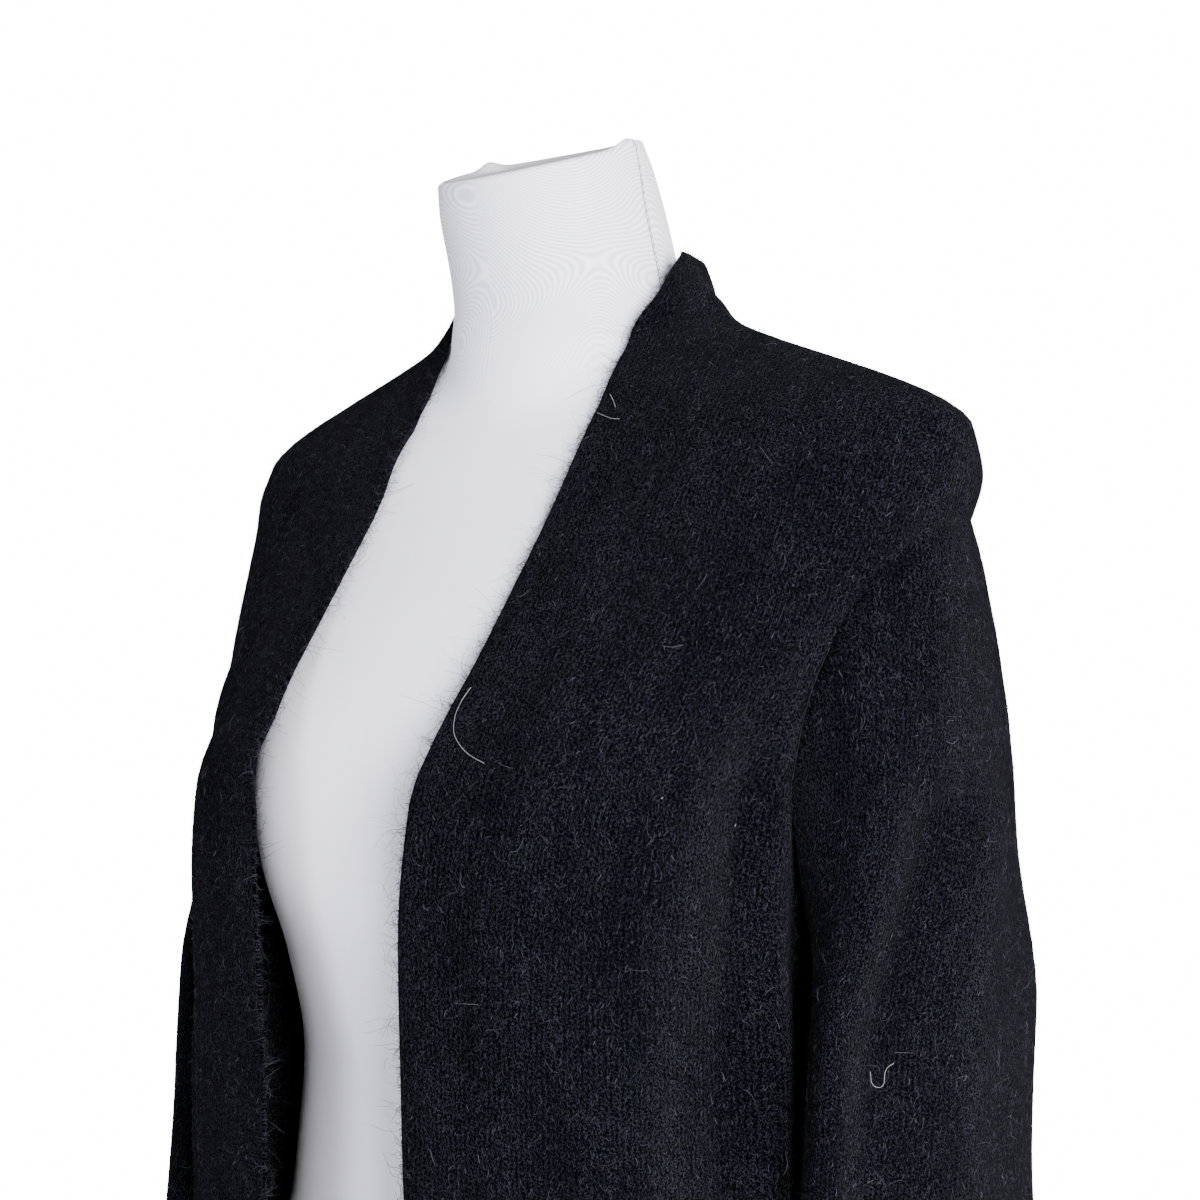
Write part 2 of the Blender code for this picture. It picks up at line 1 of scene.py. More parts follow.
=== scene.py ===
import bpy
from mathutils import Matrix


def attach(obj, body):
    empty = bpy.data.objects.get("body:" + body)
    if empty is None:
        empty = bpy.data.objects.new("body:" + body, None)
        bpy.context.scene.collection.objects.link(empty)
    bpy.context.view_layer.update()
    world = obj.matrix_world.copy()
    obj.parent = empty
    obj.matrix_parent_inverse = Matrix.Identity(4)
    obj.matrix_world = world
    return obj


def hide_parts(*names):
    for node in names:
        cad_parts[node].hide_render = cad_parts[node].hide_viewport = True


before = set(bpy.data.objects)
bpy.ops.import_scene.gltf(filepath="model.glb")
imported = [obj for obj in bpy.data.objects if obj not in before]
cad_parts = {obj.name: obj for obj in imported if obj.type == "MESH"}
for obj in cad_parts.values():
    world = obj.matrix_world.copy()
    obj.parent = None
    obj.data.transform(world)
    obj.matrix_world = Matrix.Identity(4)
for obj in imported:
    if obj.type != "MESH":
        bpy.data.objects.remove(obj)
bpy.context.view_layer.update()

import math

import bpy
import numpy as np

# An open-front brushed knit cardigan that hangs on a dress form. +Z is up and the form faces -Y. The
# room is laid out in metres, the form and the garment in centimetres, as a pattern maker writes them.
# Round the body an angle is 0 at the wearer's side, -90 at the front middle and 90 at the back middle,
# and it is mirrored for the wearer's right.

# ---------------------------------------------------------------------------------------------------
# View, floor and light. A level camera stands a metre from the form's axis, to the wearer's left of
# its front. The strongest of the large soft lamps stands further round to the left, like a window, and
# weaker ones fill the front and the back. The room behind is white.
VIEW_AZIMUTH = math.radians(40.0)
VIEW_DISTANCE = 1.00
VIEW_HEIGHT = 1.26
LENS_MM, SENSOR_MM = 58.5, 36.0
FRAME_PIXELS = 1200
AXIS_PIXEL = (543, 624)

camera = bpy.data.objects.new("view", bpy.data.cameras.new("view"))
bpy.context.scene.collection.objects.link(camera)
camera.data.lens = LENS_MM
camera.data.sensor_width = SENSOR_MM
camera.data.shift_x = 0.5 - AXIS_PIXEL[0] / FRAME_PIXELS
camera.data.shift_y = AXIS_PIXEL[1] / FRAME_PIXELS - 0.5
camera.location = (
    VIEW_DISTANCE * math.sin(VIEW_AZIMUTH), -VIEW_DISTANCE * math.cos(VIEW_AZIMUTH), VIEW_HEIGHT)
camera.rotation_euler = (math.pi / 2, 0, VIEW_AZIMUTH)
bpy.context.scene.camera = camera

FLOOR_RADIUS = 2.4
bpy.ops.mesh.primitive_circle_add(vertices=96, radius=FLOOR_RADIUS, fill_type="NGON")
floor = bpy.context.object
floor.name = "floor"
floor_paint = bpy.data.materials.new("floor_paint")
floor_paint.use_nodes = True
paint = floor_paint.node_tree.nodes["Principled BSDF"].inputs
paint["Base Color"].default_value = (0.86, 0.86, 0.86, 1)
paint["Roughness"].default_value = 0.8
floor.data.materials.append(floor_paint)

# What the camera sees of the room is far brighter than the light that the room gives.
BACKDROP_STRENGTH = 16.0
FILL_STRENGTH = 0.06
world = bpy.data.worlds.new("studio")
bpy.context.scene.world = world
world.use_nodes = True
room = world.node_tree.nodes
backdrop = room.new("ShaderNodeBackground")
backdrop.inputs["Strength"].default_value = BACKDROP_STRENGTH
backdrop.inputs["Color"].default_value = (1.0, 1.0, 1.0, 1)
room["Background"].inputs["Color"].default_value = (0.93, 0.96, 1.0, 1)
room["Background"].inputs["Strength"].default_value = FILL_STRENGTH
seen = room.new("ShaderNodeLightPath")
either = room.new("ShaderNodeMixShader")
world.node_tree.links.new(seen.outputs["Is Camera Ray"], either.inputs[0])
world.node_tree.links.new(room["Background"].outputs[0], either.inputs[1])
world.node_tree.links.new(backdrop.outputs[0], either.inputs[2])
world.node_tree.links.new(either.outputs[0], room["World Output"].inputs["Surface"])

CHEST_HEIGHT = 1.2
DAYLIGHT = (1.0, 0.99, 0.99)
BLUE_SKY = (0.94, 0.95, 1.0)
COOL_WHITE = (0.97, 0.98, 1.0)


def add_lamp(name, azimuth, height, distance, size, watts, colour):
    """A square soft lamp that shines on the form's chest, placed by its angle from the front."""
    lamp = bpy.data.objects.new(name, bpy.data.lights.new(name, "AREA"))
    bpy.context.scene.collection.objects.link(lamp)
    lamp.data.size = size
    lamp.data.energy = watts
    lamp.data.color = colour
    turn = math.radians(azimuth)
    lamp.location = (distance * math.sin(turn), -distance * math.cos(turn), height)
    aim = lamp.location.copy()
    aim.z -= CHEST_HEIGHT
    lamp.rotation_euler = aim.to_track_quat("Z", "Y").to_euler()


add_lamp("window", 61, 1.6, 2.3, 1.1, 238, DAYLIGHT)
add_lamp("low_window", 100, 0.7, 2.3, 1.1, 30, DAYLIGHT)
add_lamp("front", -6, 1.2, 2.3, 1.1, 34, BLUE_SKY)
add_lamp("behind_left", 160, 2.2, 2.5, 1.2, 30, COOL_WHITE)
add_lamp("behind_right", 275, 1.8, 2.5, 1.2, 42, COOL_WHITE)
add_lamp("behind", 218, 1.2, 2.4, 1.4, 130, COOL_WHITE)

# ---------------------------------------------------------------------------------------------------
# The dress form: a padded torso and neck under a sewn cover of white stretch jersey. The cover is a bag with
# a seam down each side, drawn over the form from above, so that its corners stand up as small ears at the
# neck's flat top. There the jersey over the neck plate is painted grey, as painted shade on a top that faces
# away from the lamps, with a darker lilac line just inside the rim.


class Sections:
    """A table of sections by height, read along smooth curves that never overshoot its rows."""

    def __init__(self, rows):
        table = np.array(rows, dtype=float)
        self.heights = table[:, 0]
        self.values = table[:, 1:]
        self.steps = np.diff(self.heights)
        slopes = np.diff(self.values, axis=0) / self.steps[:, None]
        before, after = slopes[:-1], slopes[1:]
        w1 = (2 * self.steps[1:] + self.steps[:-1])[:, None]
        w2 = (self.steps[1:] + 2 * self.steps[:-1])[:, None]
        same = before * after > 0
        weights = w1 / np.where(same, before, 1) + w2 / np.where(same, after, 1)
        inner = np.where(same, (w1 + w2) / weights, 0)
        self.tangents = np.vstack((slopes[:1], inner, slopes[-1:]))

    def read(self, height):
        """Each column's values at the heights."""
        z = np.clip(height, self.heights[0], self.heights[-1])
        i = np.clip(np.searchsorted(self.heights, z, side="right") - 1, 0, len(self.steps) - 1)
        step = self.steps[i][..., None]
        u = (z - self.heights[i])[..., None] / step
        start = (1 + 2 * u) * (1 - u) ** 2 * self.values[i] + u * (1 - u) ** 2 * step * self.tangents[i]
        end = u * u * (3 - 2 * u) * self.values[i + 1] + u * u * (u - 1) * step * self.tangents[i + 1]
        return np.moveaxis(start + end, -1, 0)


# Height, half width, the middle's y, depth in front and behind, and how square the section is.
TORSO = Sections((
    (74.0, 15.8, 0.6, 10.8, 11.4, 2.2),
    (84.0, 16.6, 0.6, 11.4, 12.0, 2.2),
    (92.0, 15.8, 0.5, 11.3, 11.0, 2.1),
    (98.0, 14.4, 0.3, 10.8, 9.8, 2.1),
    (104.0, 13.7, 0.0, 10.6, 9.2, 2.0),
    (109.0, 14.2, 0.0, 11.6, 9.3, 2.0),
    (114.0, 15.1, 0.2, 12.8, 9.8, 2.0),
    (118.0, 15.7, 0.5, 12.8, 10.2, 2.0),
    (122.0, 16.6, 1.0, 12.8, 10.4, 2.1),
    (126.0, 18.6, 1.7, 11.8, 10.6, 2.1),
    (130.0, 20.8, 2.5, 9.9, 10.0, 2.1),
    (133.0, 21.9, 3.1, 8.5, 9.0, 2.1),
    (135.0, 21.7, 3.1, 7.3, 8.0, 2.0),
    (136.0, 20.6, 3.0, 6.4, 7.2, 2.0),
    (137.1, 18.4, 2.7, 5.5, 6.5, 1.9),
    (138.2, 15.6, 2.4, 4.5, 5.7, 1.8),
    (139.5, 12.0, 2.2, 3.4, 4.6, 1.8),
    (140.7, 9.1, 2.1, 2.6, 3.5, 1.8),
    (142.2, 6.8, 2.1, 1.7, 2.6, 1.8),
    (144.0, 4.5, 2.1, 1.2, 2.0, 1.8),
    (150.0, 1.0, 2.1, 1.0, 1.0, 1.8),
))
# Height, radius, the middle's y, and how many degrees the section tilts forward.
NECK = Sections((
    (74.0, 1.0, 0.0, 0.0),
    (126.0, 2.0, 1.0, 0.0),
    (134.0, 5.2, 1.8, 0.0),
    (138.0, 6.0, 2.0, 1.0),
    (140.7, 6.1, 2.1, 3.0),
    (142.2, 6.0, 2.1, 6.0),
    (143.8, 5.88, 1.8, 10.0),
    (146.0, 5.76, 1.1, 15.0),
    (148.0, 5.62, 0.3, 19.0),
    (149.4, 5.38, -0.2, 18.5),
))
# The higher this power, the sharper the corner where neck and shoulders meet.
NECK_BLEND = 7.0
NECK_TAKES_OVER = (138.0, 144.0)
BUST_SIDE, BUST_HEIGHT, BUST_DEPTH, BUST_WIDTH, BUST_RISE = 8.2, 117.5, 1.6, 4.6, 5.5
FORM_BOTTOM, FORM_TOP = 74.0, 149.4


def smoothstep(low, high, value):
    """0 up to low and 1 from high on, with a soft step between."""
    u = np.clip((value - low) / (high - low), 0.0, 1.0)
    return u * u * (3 - 2 * u)


def bell(value, middle, half_width):
    """1 at the middle, falling away smoothly on both sides."""
    return np.exp(-((value - middle) / half_width) ** 2)


def section_reach(angle, half_width, front, back, power):
    """Distance from the centre to a rounded section's edge, at an angle in radians."""
    depth = np.where(np.sin(angle) >= 0, back, front)
    across = np.abs(np.cos(angle)) / half_width
    along = np.abs(np.sin(angle)) / depth
    return (across ** power + along ** power) ** (-1.0 / power)


def form_point(degrees, height):
    """Points of the dress form, for its left half."""
    degrees, height = np.broadcast_arrays(np.asarray(degrees, float), np.asarray(height, float))
    angle = np.radians(degrees)
    half_width, centre, front, back, power = TORSO.read(height)
    torso = section_reach(angle, half_width, front, back, power)
    x = torso * np.cos(angle)
    for side in (BUST_SIDE, -BUST_SIDE):
        bust = BUST_DEPTH * bell(x, side, BUST_WIDTH) * bell(height, BUST_HEIGHT, BUST_RISE)
        torso = torso - np.where(degrees < 0, bust * np.sin(angle), 0)
    neck, neck_centre, tilt = NECK.read(height)
    reach = (torso ** NECK_BLEND + neck ** NECK_BLEND) ** (1.0 / NECK_BLEND)
    middle = centre + (neck_centre - centre) * smoothstep(*NECK_TAKES_OVER, height)
    along = reach * np.sin(angle)
    lean = np.radians(tilt)
    y = middle + along * np.cos(lean)
    return np.stack((reach * np.cos(angle), y, height + along * np.sin(lean)), -1)


def surface_normal(surface, degrees, height, rise=0.05, turn=0.4):
    """The direction straight out of a surface that is drawn by angle and height."""
    across = surface(degrees + turn, height) - surface(degrees - turn, height)
    up = surface(degrees, height + rise) - surface(degrees, height - rise)
    normal = np.cross(across, up)
    return normal / np.linalg.norm(normal, axis=-1, keepdims=True)


CM = 0.01


def add_piece(name, points, faces, slot="knit"):
    """A mesh in metres from points in centimetres, riding on the stand."""
    mesh = bpy.data.meshes.new(name)
    mesh.from_pydata(np.asarray(points, float) * CM, [], faces)
    mesh.shade_smooth()
    piece = bpy.data.objects.new(name, mesh)
    bpy.context.scene.collection.objects.link(piece)
    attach(piece, "root")
    return piece


def ring_faces(rows, steps):
    """Quads between closed rings of points that run up a tube."""
    low = np.arange(rows - 1)[:, None] * steps + np.arange(steps)
    turn = np.roll(np.arange(steps), -1)
    low_next = np.arange(rows - 1)[:, None] * steps + turn
    return np.stack((low, low_next, low_next + steps, low + steps), -1).reshape(-1, 4).tolist()


class Socket:
    """An output of a material's nodes. Sums and products with it add Math nodes."""

    def __init__(self, finish, output):
        self.finish = finish
        self.output = output

    def beside(self, number):
        """Another output of the same node."""
        return Socket(self.finish, self.output.node.outputs[number])

    def math(self, operation, *values):
        sockets = dict(enumerate((self, *values)))
        return self.finish.node("ShaderNodeMath", {"operation": operation}, sockets)

    def __add__(self, other):
        return self.math("ADD", other)

    def __mul__(self, other):
        return self.math("MULTIPLY", other)

    def __sub__(self, other):
        return self.math("SUBTRACT", other)

    def __rsub__(self, other):
        return (self * -1.0).math("ADD", other)

    __radd__ = __add__
    __rmul__ = __mul__


class Finish:
    """A material in the making, with one method that adds any node."""

    def __init__(self, name, **sockets):
        self.material = bpy.data.materials.new(name)
        self.material.use_nodes = True
        self.tree = self.material.node_tree
        self.shader = self.tree.nodes["Principled BSDF"]
        self.feed(self.shader, sockets)

    def feed(self, node, sockets):
        """Link or set a node's sockets, by their names or numbers."""
        for name, value in sockets.items():
            socket = node.inputs[name.replace("_", " ") if isinstance(name, str) else name]
            if isinstance(value, Socket):
                self.tree.links.new(value.output, socket)
            elif isinstance(value, tuple) and len(value) == 3 and socket.type == "RGBA":
                socket.default_value = (*value, 1.0)
            else:
                socket.default_value = value

    def node(self, kind, settings=None, sockets=None, output=0):
        """Any node: its settings first, such as a ramp's stops, then its sockets."""
        made = self.tree.nodes.new(kind)
        for name, value in (settings or {}).items():
            if name == "stops":
                ramp = made.color_ramp.elements
                while len(ramp) < len(value):
                    ramp.new(0.5)
                for stop, (place, colour) in zip(ramp, value):
                    stop.position = place
                    stop.color = (*colour, 1.0)
            else:
                setattr(made, name, value)
        self.feed(made, sockets or {})
        return Socket(self, made.outputs[output])

    def mix(self, factor, one, other):
        """A colour between two."""
        return self.node("ShaderNodeMix", {"data_type": "RGBA"}, {0: factor, 6: one, 7: other}, 2)

    def surface(self, **sockets):
        """The finished material."""
        self.feed(self.shader, sockets)
        return self.material


COVER_ROWS = 124
RIM_ROWS = 6
RIM_RADIUS = 0.30
PLATE_SHARES = (0.94, 0.90, 0.86, 0.80, 0.70, 0.55, 0.4, 0.25, 0.1)
PLATE_SAG = 0.10
PLATE_TUCK = 0.02
# The bag's corners at the rim, as bumps with an angle, half a width in degrees and a rise: the far side
# is slack and has a sharp ear, and the near ear is softer.
EARS = {-1: ((10.0, 46.0, 0.20), (20.0, 7.5, 0.34)), 1: ((9.0, 12.0, 0.33), (42.0, 26.0, 0.12))}
EAR_ROWS = 8
EAR_BELOW_RIM = 0.45
EAR_ON_PLATE = (0.78, 1.0)
COVER_SHARP_ANGLE = 60.0
SEAM_DEPTH = 0.05
SEAM_WIDTH = 0.10
SEAM_COLUMNS = (0.0, 0.4, 0.8, 1.2, 1.7, 2.4, 3.3, 4.6)
# The cover's side seam by height and angle. It leans forward from the neck's top to the shoulder.
COVER_SEAM = Sections((
    (74.0, 4.0),
    (132.0, 4.0),
    (140.5, -8.0),
    (142.7, -3.8),
    (143.8, 0.0),
    (145.0, 1.5),
    (146.0, 2.5),
    (147.0, 4.5),
    (148.0, 8.0),
    (149.8, 16.0),
))


def cover_angle(column, height):
    """A column's angle, where column 0 runs down the side seam."""
    return column + COVER_SEAM.read(height)[0] * (1 - (column / 90.0) ** 2) ** 2


def cover_point(side, column, height):
    """Points of the cover: the form with the side seams drawn in."""
    degrees = cover_angle(column, height)
    point = form_point(degrees, height)
    away = np.radians(degrees - cover_angle(0.0, height)) * np.hypot(point[..., 0], point[..., 1])
    dip = SEAM_DEPTH * bell(away, 0.0, SEAM_WIDTH)
    point = point - dip[..., None] * surface_normal(form_point, degrees, height)
    return point * np.stack((side, np.ones_like(side), np.ones_like(side)), -1)


def ear_lift(side, degrees):
    """How far the bag stands up at the rim."""
    far, near = (sum(rise * bell(degrees, angle, half) for angle, half, rise in EARS[s]) for s in (-1, 1))
    return np.where(side < 0, far, near)


WIDE_COLUMNS = np.linspace(7.0, 90.0, 32)
past_seam = np.concatenate((SEAM_COLUMNS, WIDE_COLUMNS))
half_round = np.concatenate((-past_seam[:0:-1], past_seam))
column = np.concatenate((half_round, half_round[-2:0:-1]))
cover_side = np.repeat((1.0, -1.0), (len(half_round), len(half_round) - 2))
steps = len(column)
levels = np.linspace(FORM_BOTTOM, FORM_TOP - 0.1, COVER_ROWS)
rows = [cover_point(cover_side, column, np.full(steps, level)) for level in levels]
rim = rows[-1]
rim_middle = rim.mean(axis=0)
at_side, at_back = len(past_seam) - 1, len(half_round) - 1
rim_up = np.cross(rim[at_side] - rim_middle, rim[at_back] - rim_middle)
rim_up /= np.linalg.norm(rim_up)
lift = ear_lift(cover_side, cover_angle(column, FORM_TOP))[:, None] * rim_up
for r in range(EAR_ROWS):
    share = (r + 1) / EAR_ROWS
    rows[r - EAR_ROWS] = rows[r - EAR_ROWS] + lift * EAR_BELOW_RIM * share ** 2
inward = rim_middle - rim
inward /= np.linalg.norm(inward, axis=1, keepdims=True)
for r in range(1, RIM_ROWS + 1):
    turn = math.pi / 2 * r / RIM_ROWS
    bend = RIM_RADIUS * (1 - math.cos(turn)) * inward + RIM_RADIUS * math.sin(turn) * rim_up
    rows.append(rim + bend + lift * (EAR_BELOW_RIM + (1 - EAR_BELOW_RIM) * math.sin(turn)))
for share in PLATE_SHARES:
    sag = PLATE_SAG * (1 - share ** 2)
    ring = rim_middle + (rim - rim_middle) * (share - PLATE_TUCK) + (RIM_RADIUS - sag) * rim_up
    rows.append(ring + lift * smoothstep(*EAR_ON_PLATE, share))
cover_points = np.concatenate(rows)
count = len(cover_points)
plate_middle = rim_middle + (RIM_RADIUS - PLATE_SAG) * rim_up
bottom_middle = (0, TORSO.values[0, 1], FORM_BOTTOM)
cover_points = np.vstack((cover_points, plate_middle, bottom_middle))
cover_faces = ring_faces(len(rows), steps)
last = count - steps
for i in range(steps):
    j = (i + 1) % steps
    cover_faces.append((last + i, last + j, count))
    cover_faces.append((j, i, count + 1))
cover = add_piece("form_cover", cover_points, cover_faces, slot="cover")
cover.data.set_sharp_from_angle(angle=math.radians(COVER_SHARP_ANGLE))
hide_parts("dress_form")

# Where the jersey lies over the form, for its finish. Across goes the angle from the left side seam in
# tens of degrees. Upwards goes the height in tens of centimetres or, on top, the share of the way out to
# the neck plate's edge. A face that closes the ring has its low angles raised by a whole turn.
LAST_ANGLES = 240.0
place = cover.data.uv_layers.new(name="Cover")
vertex = np.zeros(len(cover.data.loops), int)
cover.data.loops.foreach_get("vertex_index", vertex)
face_of = np.repeat(np.arange(len(cover_faces)), [len(f) for f in cover_faces])
around = np.broadcast_to(np.where(cover_side > 0, column, 180.0 - column), (len(rows), steps))
around = np.append(around.ravel(), (90.0, 90.0))[vertex]
wraps = np.zeros(len(cover_faces), bool)
np.logical_or.at(wraps, face_of, around > LAST_ANGLES)
around = np.where(wraps[face_of] & (around < 0), around + 360.0, around)
plate_from = (COVER_ROWS + RIM_ROWS - 1) * steps
plate_share = np.zeros(len(cover_points))
plate_share[plate_from:count] = np.repeat((1.0,) + PLATE_SHARES, steps)
on_plate = np.array([min(face) >= plate_from for face in cover_faces])
upward = np.where(on_plate[face_of], plate_share[vertex], cover_points[vertex, 2] / 10.0)
place.data.foreach_set("uv", np.column_stack((around / 10.0, upward)).astype(np.float32).ravel())
cover.data.polygons.foreach_set("material_index", on_plate.astype(np.int32))

# The jersey: its rib in radians per ten degrees, and its course in radians per ten centimetres. The other
# places are in the same tens: where the neck starts, and how far the painted shade reaches either side of
# the side seams, where the jersey is darkened in the seam's groove between the stitch loops.
JERSEY_RIB = 330.0
JERSEY_COURSE = 900.0
WATERMARK_WAVES = 480.0
NECK_STARTS = (13.75, 14.05)
SEAM_SHADE_REACH = (0.10, 0.15)
SEAM_TO_SEAM = 18.0
jersey = Finish("white_jersey", Roughness=0.72, Specular_IOR_Level=0.3,
                Sheen_Weight=0.25, Sheen_Roughness=0.5)
spot = jersey.node("ShaderNodeUVMap", {"uv_map": "Cover"})
turn_tens = jersey.node("ShaderNodeSeparateXYZ", None, {0: spot})
rise_tens = turn_tens.beside(1)
rib = (turn_tens * JERSEY_RIB).math("SINE")
course = (rise_tens * JERSEY_COURSE).math("SINE")
drawn = jersey.node("ShaderNodeMapping", None, {"Vector": spot, "Scale": (1.0, 10.0, 1.0)})
stretch = jersey.node("ShaderNodeTexNoise", None, {"Vector": drawn, "Scale": 0.13, "Detail": 0.5})
low, high = NECK_STARTS
on_neck = jersey.node("ShaderNodeMapRange", None, {0: rise_tens, 1: low, 2: high, 3: 0.0, 4: 1.0})
watermark = ((stretch * WATERMARK_WAVES).math("SINE") * 0.5 + 0.5) * on_neck
from_seam = turn_tens.math("ABSOLUTE").math("MINIMUM", (turn_tens - SEAM_TO_SEAM).math("ABSOLUTE"))
# Painted shade: a narrow band along each side seam is darkened, standing in for the shade in the groove
# between the stitch loops.
low, high = SEAM_SHADE_REACH
seam_shade = jersey.node("ShaderNodeMapRange", None, {0: from_seam, 1: low, 2: high, 3: 0.95, 4: 0.0})
cloud = jersey.node("ShaderNodeTexNoise", None, {
    "Vector": spot, "Scale": 1.4, "Detail": 3.0, "Roughness": 0.5})
grit = jersey.node("ShaderNodeTexNoise", None, {"Vector": spot, "Scale": 90.0, "Detail": 2.0})
white = jersey.mix(cloud, (0.77, 0.765, 0.89), (0.83, 0.825, 0.92))
white = jersey.mix(grit * 0.10, white, (0.70, 0.70, 0.74))
white = jersey.mix(watermark, white, (0.54, 0.54, 0.64))
# The painted shade along the side seams goes in last.
white = jersey.mix(seam_shade, white, (0.26, 0.26, 0.29))
relief = rib * 0.35 + course * 0.25 + grit * 1.2
bump = jersey.node("ShaderNodeBump", None, {"Strength": 0.10, "Distance": 0.0006, "Height": relief})
jersey.surface(Base_Color=white, Normal=bump)
cover.data.materials.append(jersey.material)

plate = Finish("jersey_over_the_neck_plate_painted_shade", Roughness=0.75, Specular_IOR_Level=0.2)
spot = plate.node("ShaderNodeUVMap", {"uv_map": "Cover"})
share = plate.node("ShaderNodeSeparateXYZ", None, {0: spot}).beside(1)
# Painted shade: the jersey over the flat top is painted grey, darker than on the sides, because the top
# faces away from the lamps. A darker lilac line runs just inside the rim, and the rim itself keeps the
# jersey's white.
PLATE_SHADE_TONES = (
    (0.70, (0.62, 0.62, 0.65)),
    (0.92, (0.58, 0.58, 0.61)),
    (0.955, (0.36, 0.34, 0.47)),
    (1.0, (0.80, 0.80, 0.84)),
)
tone = plate.node("ShaderNodeValToRGB", {"stops": PLATE_SHADE_TONES}, {0: share})
cover.data.materials.append(plate.surface(Base_Color=tone))


ACROSS_CORD = (0.36, 0.48, 0.80)


def sweep(paths, radius, sides=4, closed=False):
    """Points and faces of round cords along paths that have equally many points."""
    paths = np.asarray(paths, float)
    number, length = paths.shape[:2]
    if closed:
        ahead, behind = np.roll(paths, -1, 1), np.roll(paths, 1, 1)
    else:
        ahead = np.concatenate((paths[:, 1:], paths[:, -1:]), 1)
        behind = np.concatenate((paths[:, :1], paths[:, :-1]), 1)
    along = ahead - behind
    along /= np.maximum(np.linalg.norm(along, axis=-1, keepdims=True), 1e-9)
    one = np.cross(along, ACROSS_CORD)
    one /= np.linalg.norm(one, axis=-1, keepdims=True)
    two = np.cross(along, one)
    turn = np.arange(sides) * 2 * math.pi / sides
    rings = paths[:, :, None] + radius * (
        np.cos(turn)[:, None] * one[:, :, None] + np.sin(turn)[:, None] * two[:, :, None])
    steps = np.arange(length if closed else length - 1)
    next_step = (steps + 1) % length
    k = np.arange(sides)
    j = (k + 1) % sides
    quad = np.stack((steps[:, None] * sides + k, steps[:, None] * sides + j,
                     next_step[:, None] * sides + j, next_step[:, None] * sides + k), -1).reshape(-1, 4)
    faces = (np.arange(number)[:, None, None] * length * sides + quad).reshape(-1, 4)
    return rings.reshape(-1, 3), faces.tolist()


STITCH_PITCH = 0.40
STITCH_LENGTH = 0.34
STITCH_WIDTH = 0.15
THREAD_RADIUS = 0.028
STITCH_POINTS = 9
STITCH_STANDS = 0.07
STITCH_TILT = 0.01
links = []
for side in (1.0, -1.0):
    rise = np.arange(FORM_BOTTOM + 0.3, FORM_TOP - 0.1, STITCH_PITCH)
    both = np.full(len(rise), side)
    here, ahead = cover_point(both, 0.0, rise), cover_point(both, 0.0, rise + 0.1)
    along = ahead - here
    along /= np.linalg.norm(along, axis=1, keepdims=True)
    out = surface_normal(form_point, cover_angle(0.0, rise), rise) * np.array((side, 1.0, 1.0))
    across = np.cross(out, along)
    turn = np.arange(STITCH_POINTS) * 2 * math.pi / STITCH_POINTS
    loop = (here[:, None] + out[:, None] * (STITCH_STANDS + STITCH_TILT * np.cos(turn))[:, None]
            + STITCH_LENGTH / 2 * np.cos(turn)[:, None] * along[:, None]
            + STITCH_WIDTH / 2 * np.sin(turn)[:, None] * across[:, None])
    links.append(loop)
loops = sweep(np.concatenate(links), THREAD_RADIUS, sides=3, closed=True)
stitches = add_piece("form_cover_stitches", *loops, slot="cover")
thread = Finish("white_thread", Base_Color=(0.93, 0.93, 0.95), Roughness=0.6)
stitches.data.materials.append(thread.material)

# ---------------------------------------------------------------------------------------------------
# The stand, out of the photograph's frame: a satin steel tube in a turned socket on a round steel
# plate. The three carried pieces keep their shape and get a brushed finish.


def brushed_steel(name, stretch):
    """Steel brushed along one direction."""
    steel = Finish(name, Metallic=1.0, Base_Color=(0.62, 0.62, 0.64))
    where = steel.node("ShaderNodeTexCoord", None, None, "Object")
    lines = steel.node("ShaderNodeMapping", None, {"Vector": where, "Scale": stretch})
    scratch = steel.node("ShaderNodeTexNoise", None, {"Vector": lines, "Scale": 1.0, "Detail": 4.0})
    smudge = steel.node("ShaderNodeTexNoise", None, {"Vector": where, "Scale": 14.0, "Detail": 2.0})
    bump = steel.node("ShaderNodeBump", None, {"Strength": 0.12, "Distance": 0.0002, "Height": scratch})
    colour = steel.mix(smudge, (0.56, 0.56, 0.585), (0.66, 0.66, 0.675))
    return steel.surface(Base_Color=colour, Roughness=scratch * 0.22 + 0.20, Normal=bump)


for node, stretch in (("pole", (700, 700, 20)), ("socket", (60, 60, 900)), ("base", (500, 500, 40))):
    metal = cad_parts[node]
    metal.data.materials.clear()
    metal.data.materials.append(brushed_steel("steel_" + node, stretch))

# ---------------------------------------------------------------------------------------------------
# The cardigan's shape. It is knitted flat in six panels and linked. It hangs from the form's shoulders
# and neck; lower down it hangs free, with long soft folds. Its panels are read from one surface, so
# that they meet at their seams.
WALL = 0.22
SEAM_GAP = 0.008
REST_GAP = 0.36
HEM = 62.0
CUFF = 79.0
ARMPIT = 119.0
ARMHOLE_TOP = 131.0
SHOULDER_START = 132.0
BAND_SEAM = 142.0
STAND_TOP = 144.7
SIDE_SEAM = 10.0
ARMHOLE_HALF_ANGLE = 24.0
ARMHOLE_POWER = 3.0
HEAD_SQUARENESS = 2.6
UNDERARM_GAP = 0.28
EASE_BLEND = 0.4
EASE_TOP = 137.0
NECK_BACK = (40.0, 90.0)
EDGE_MERGE = 1.6

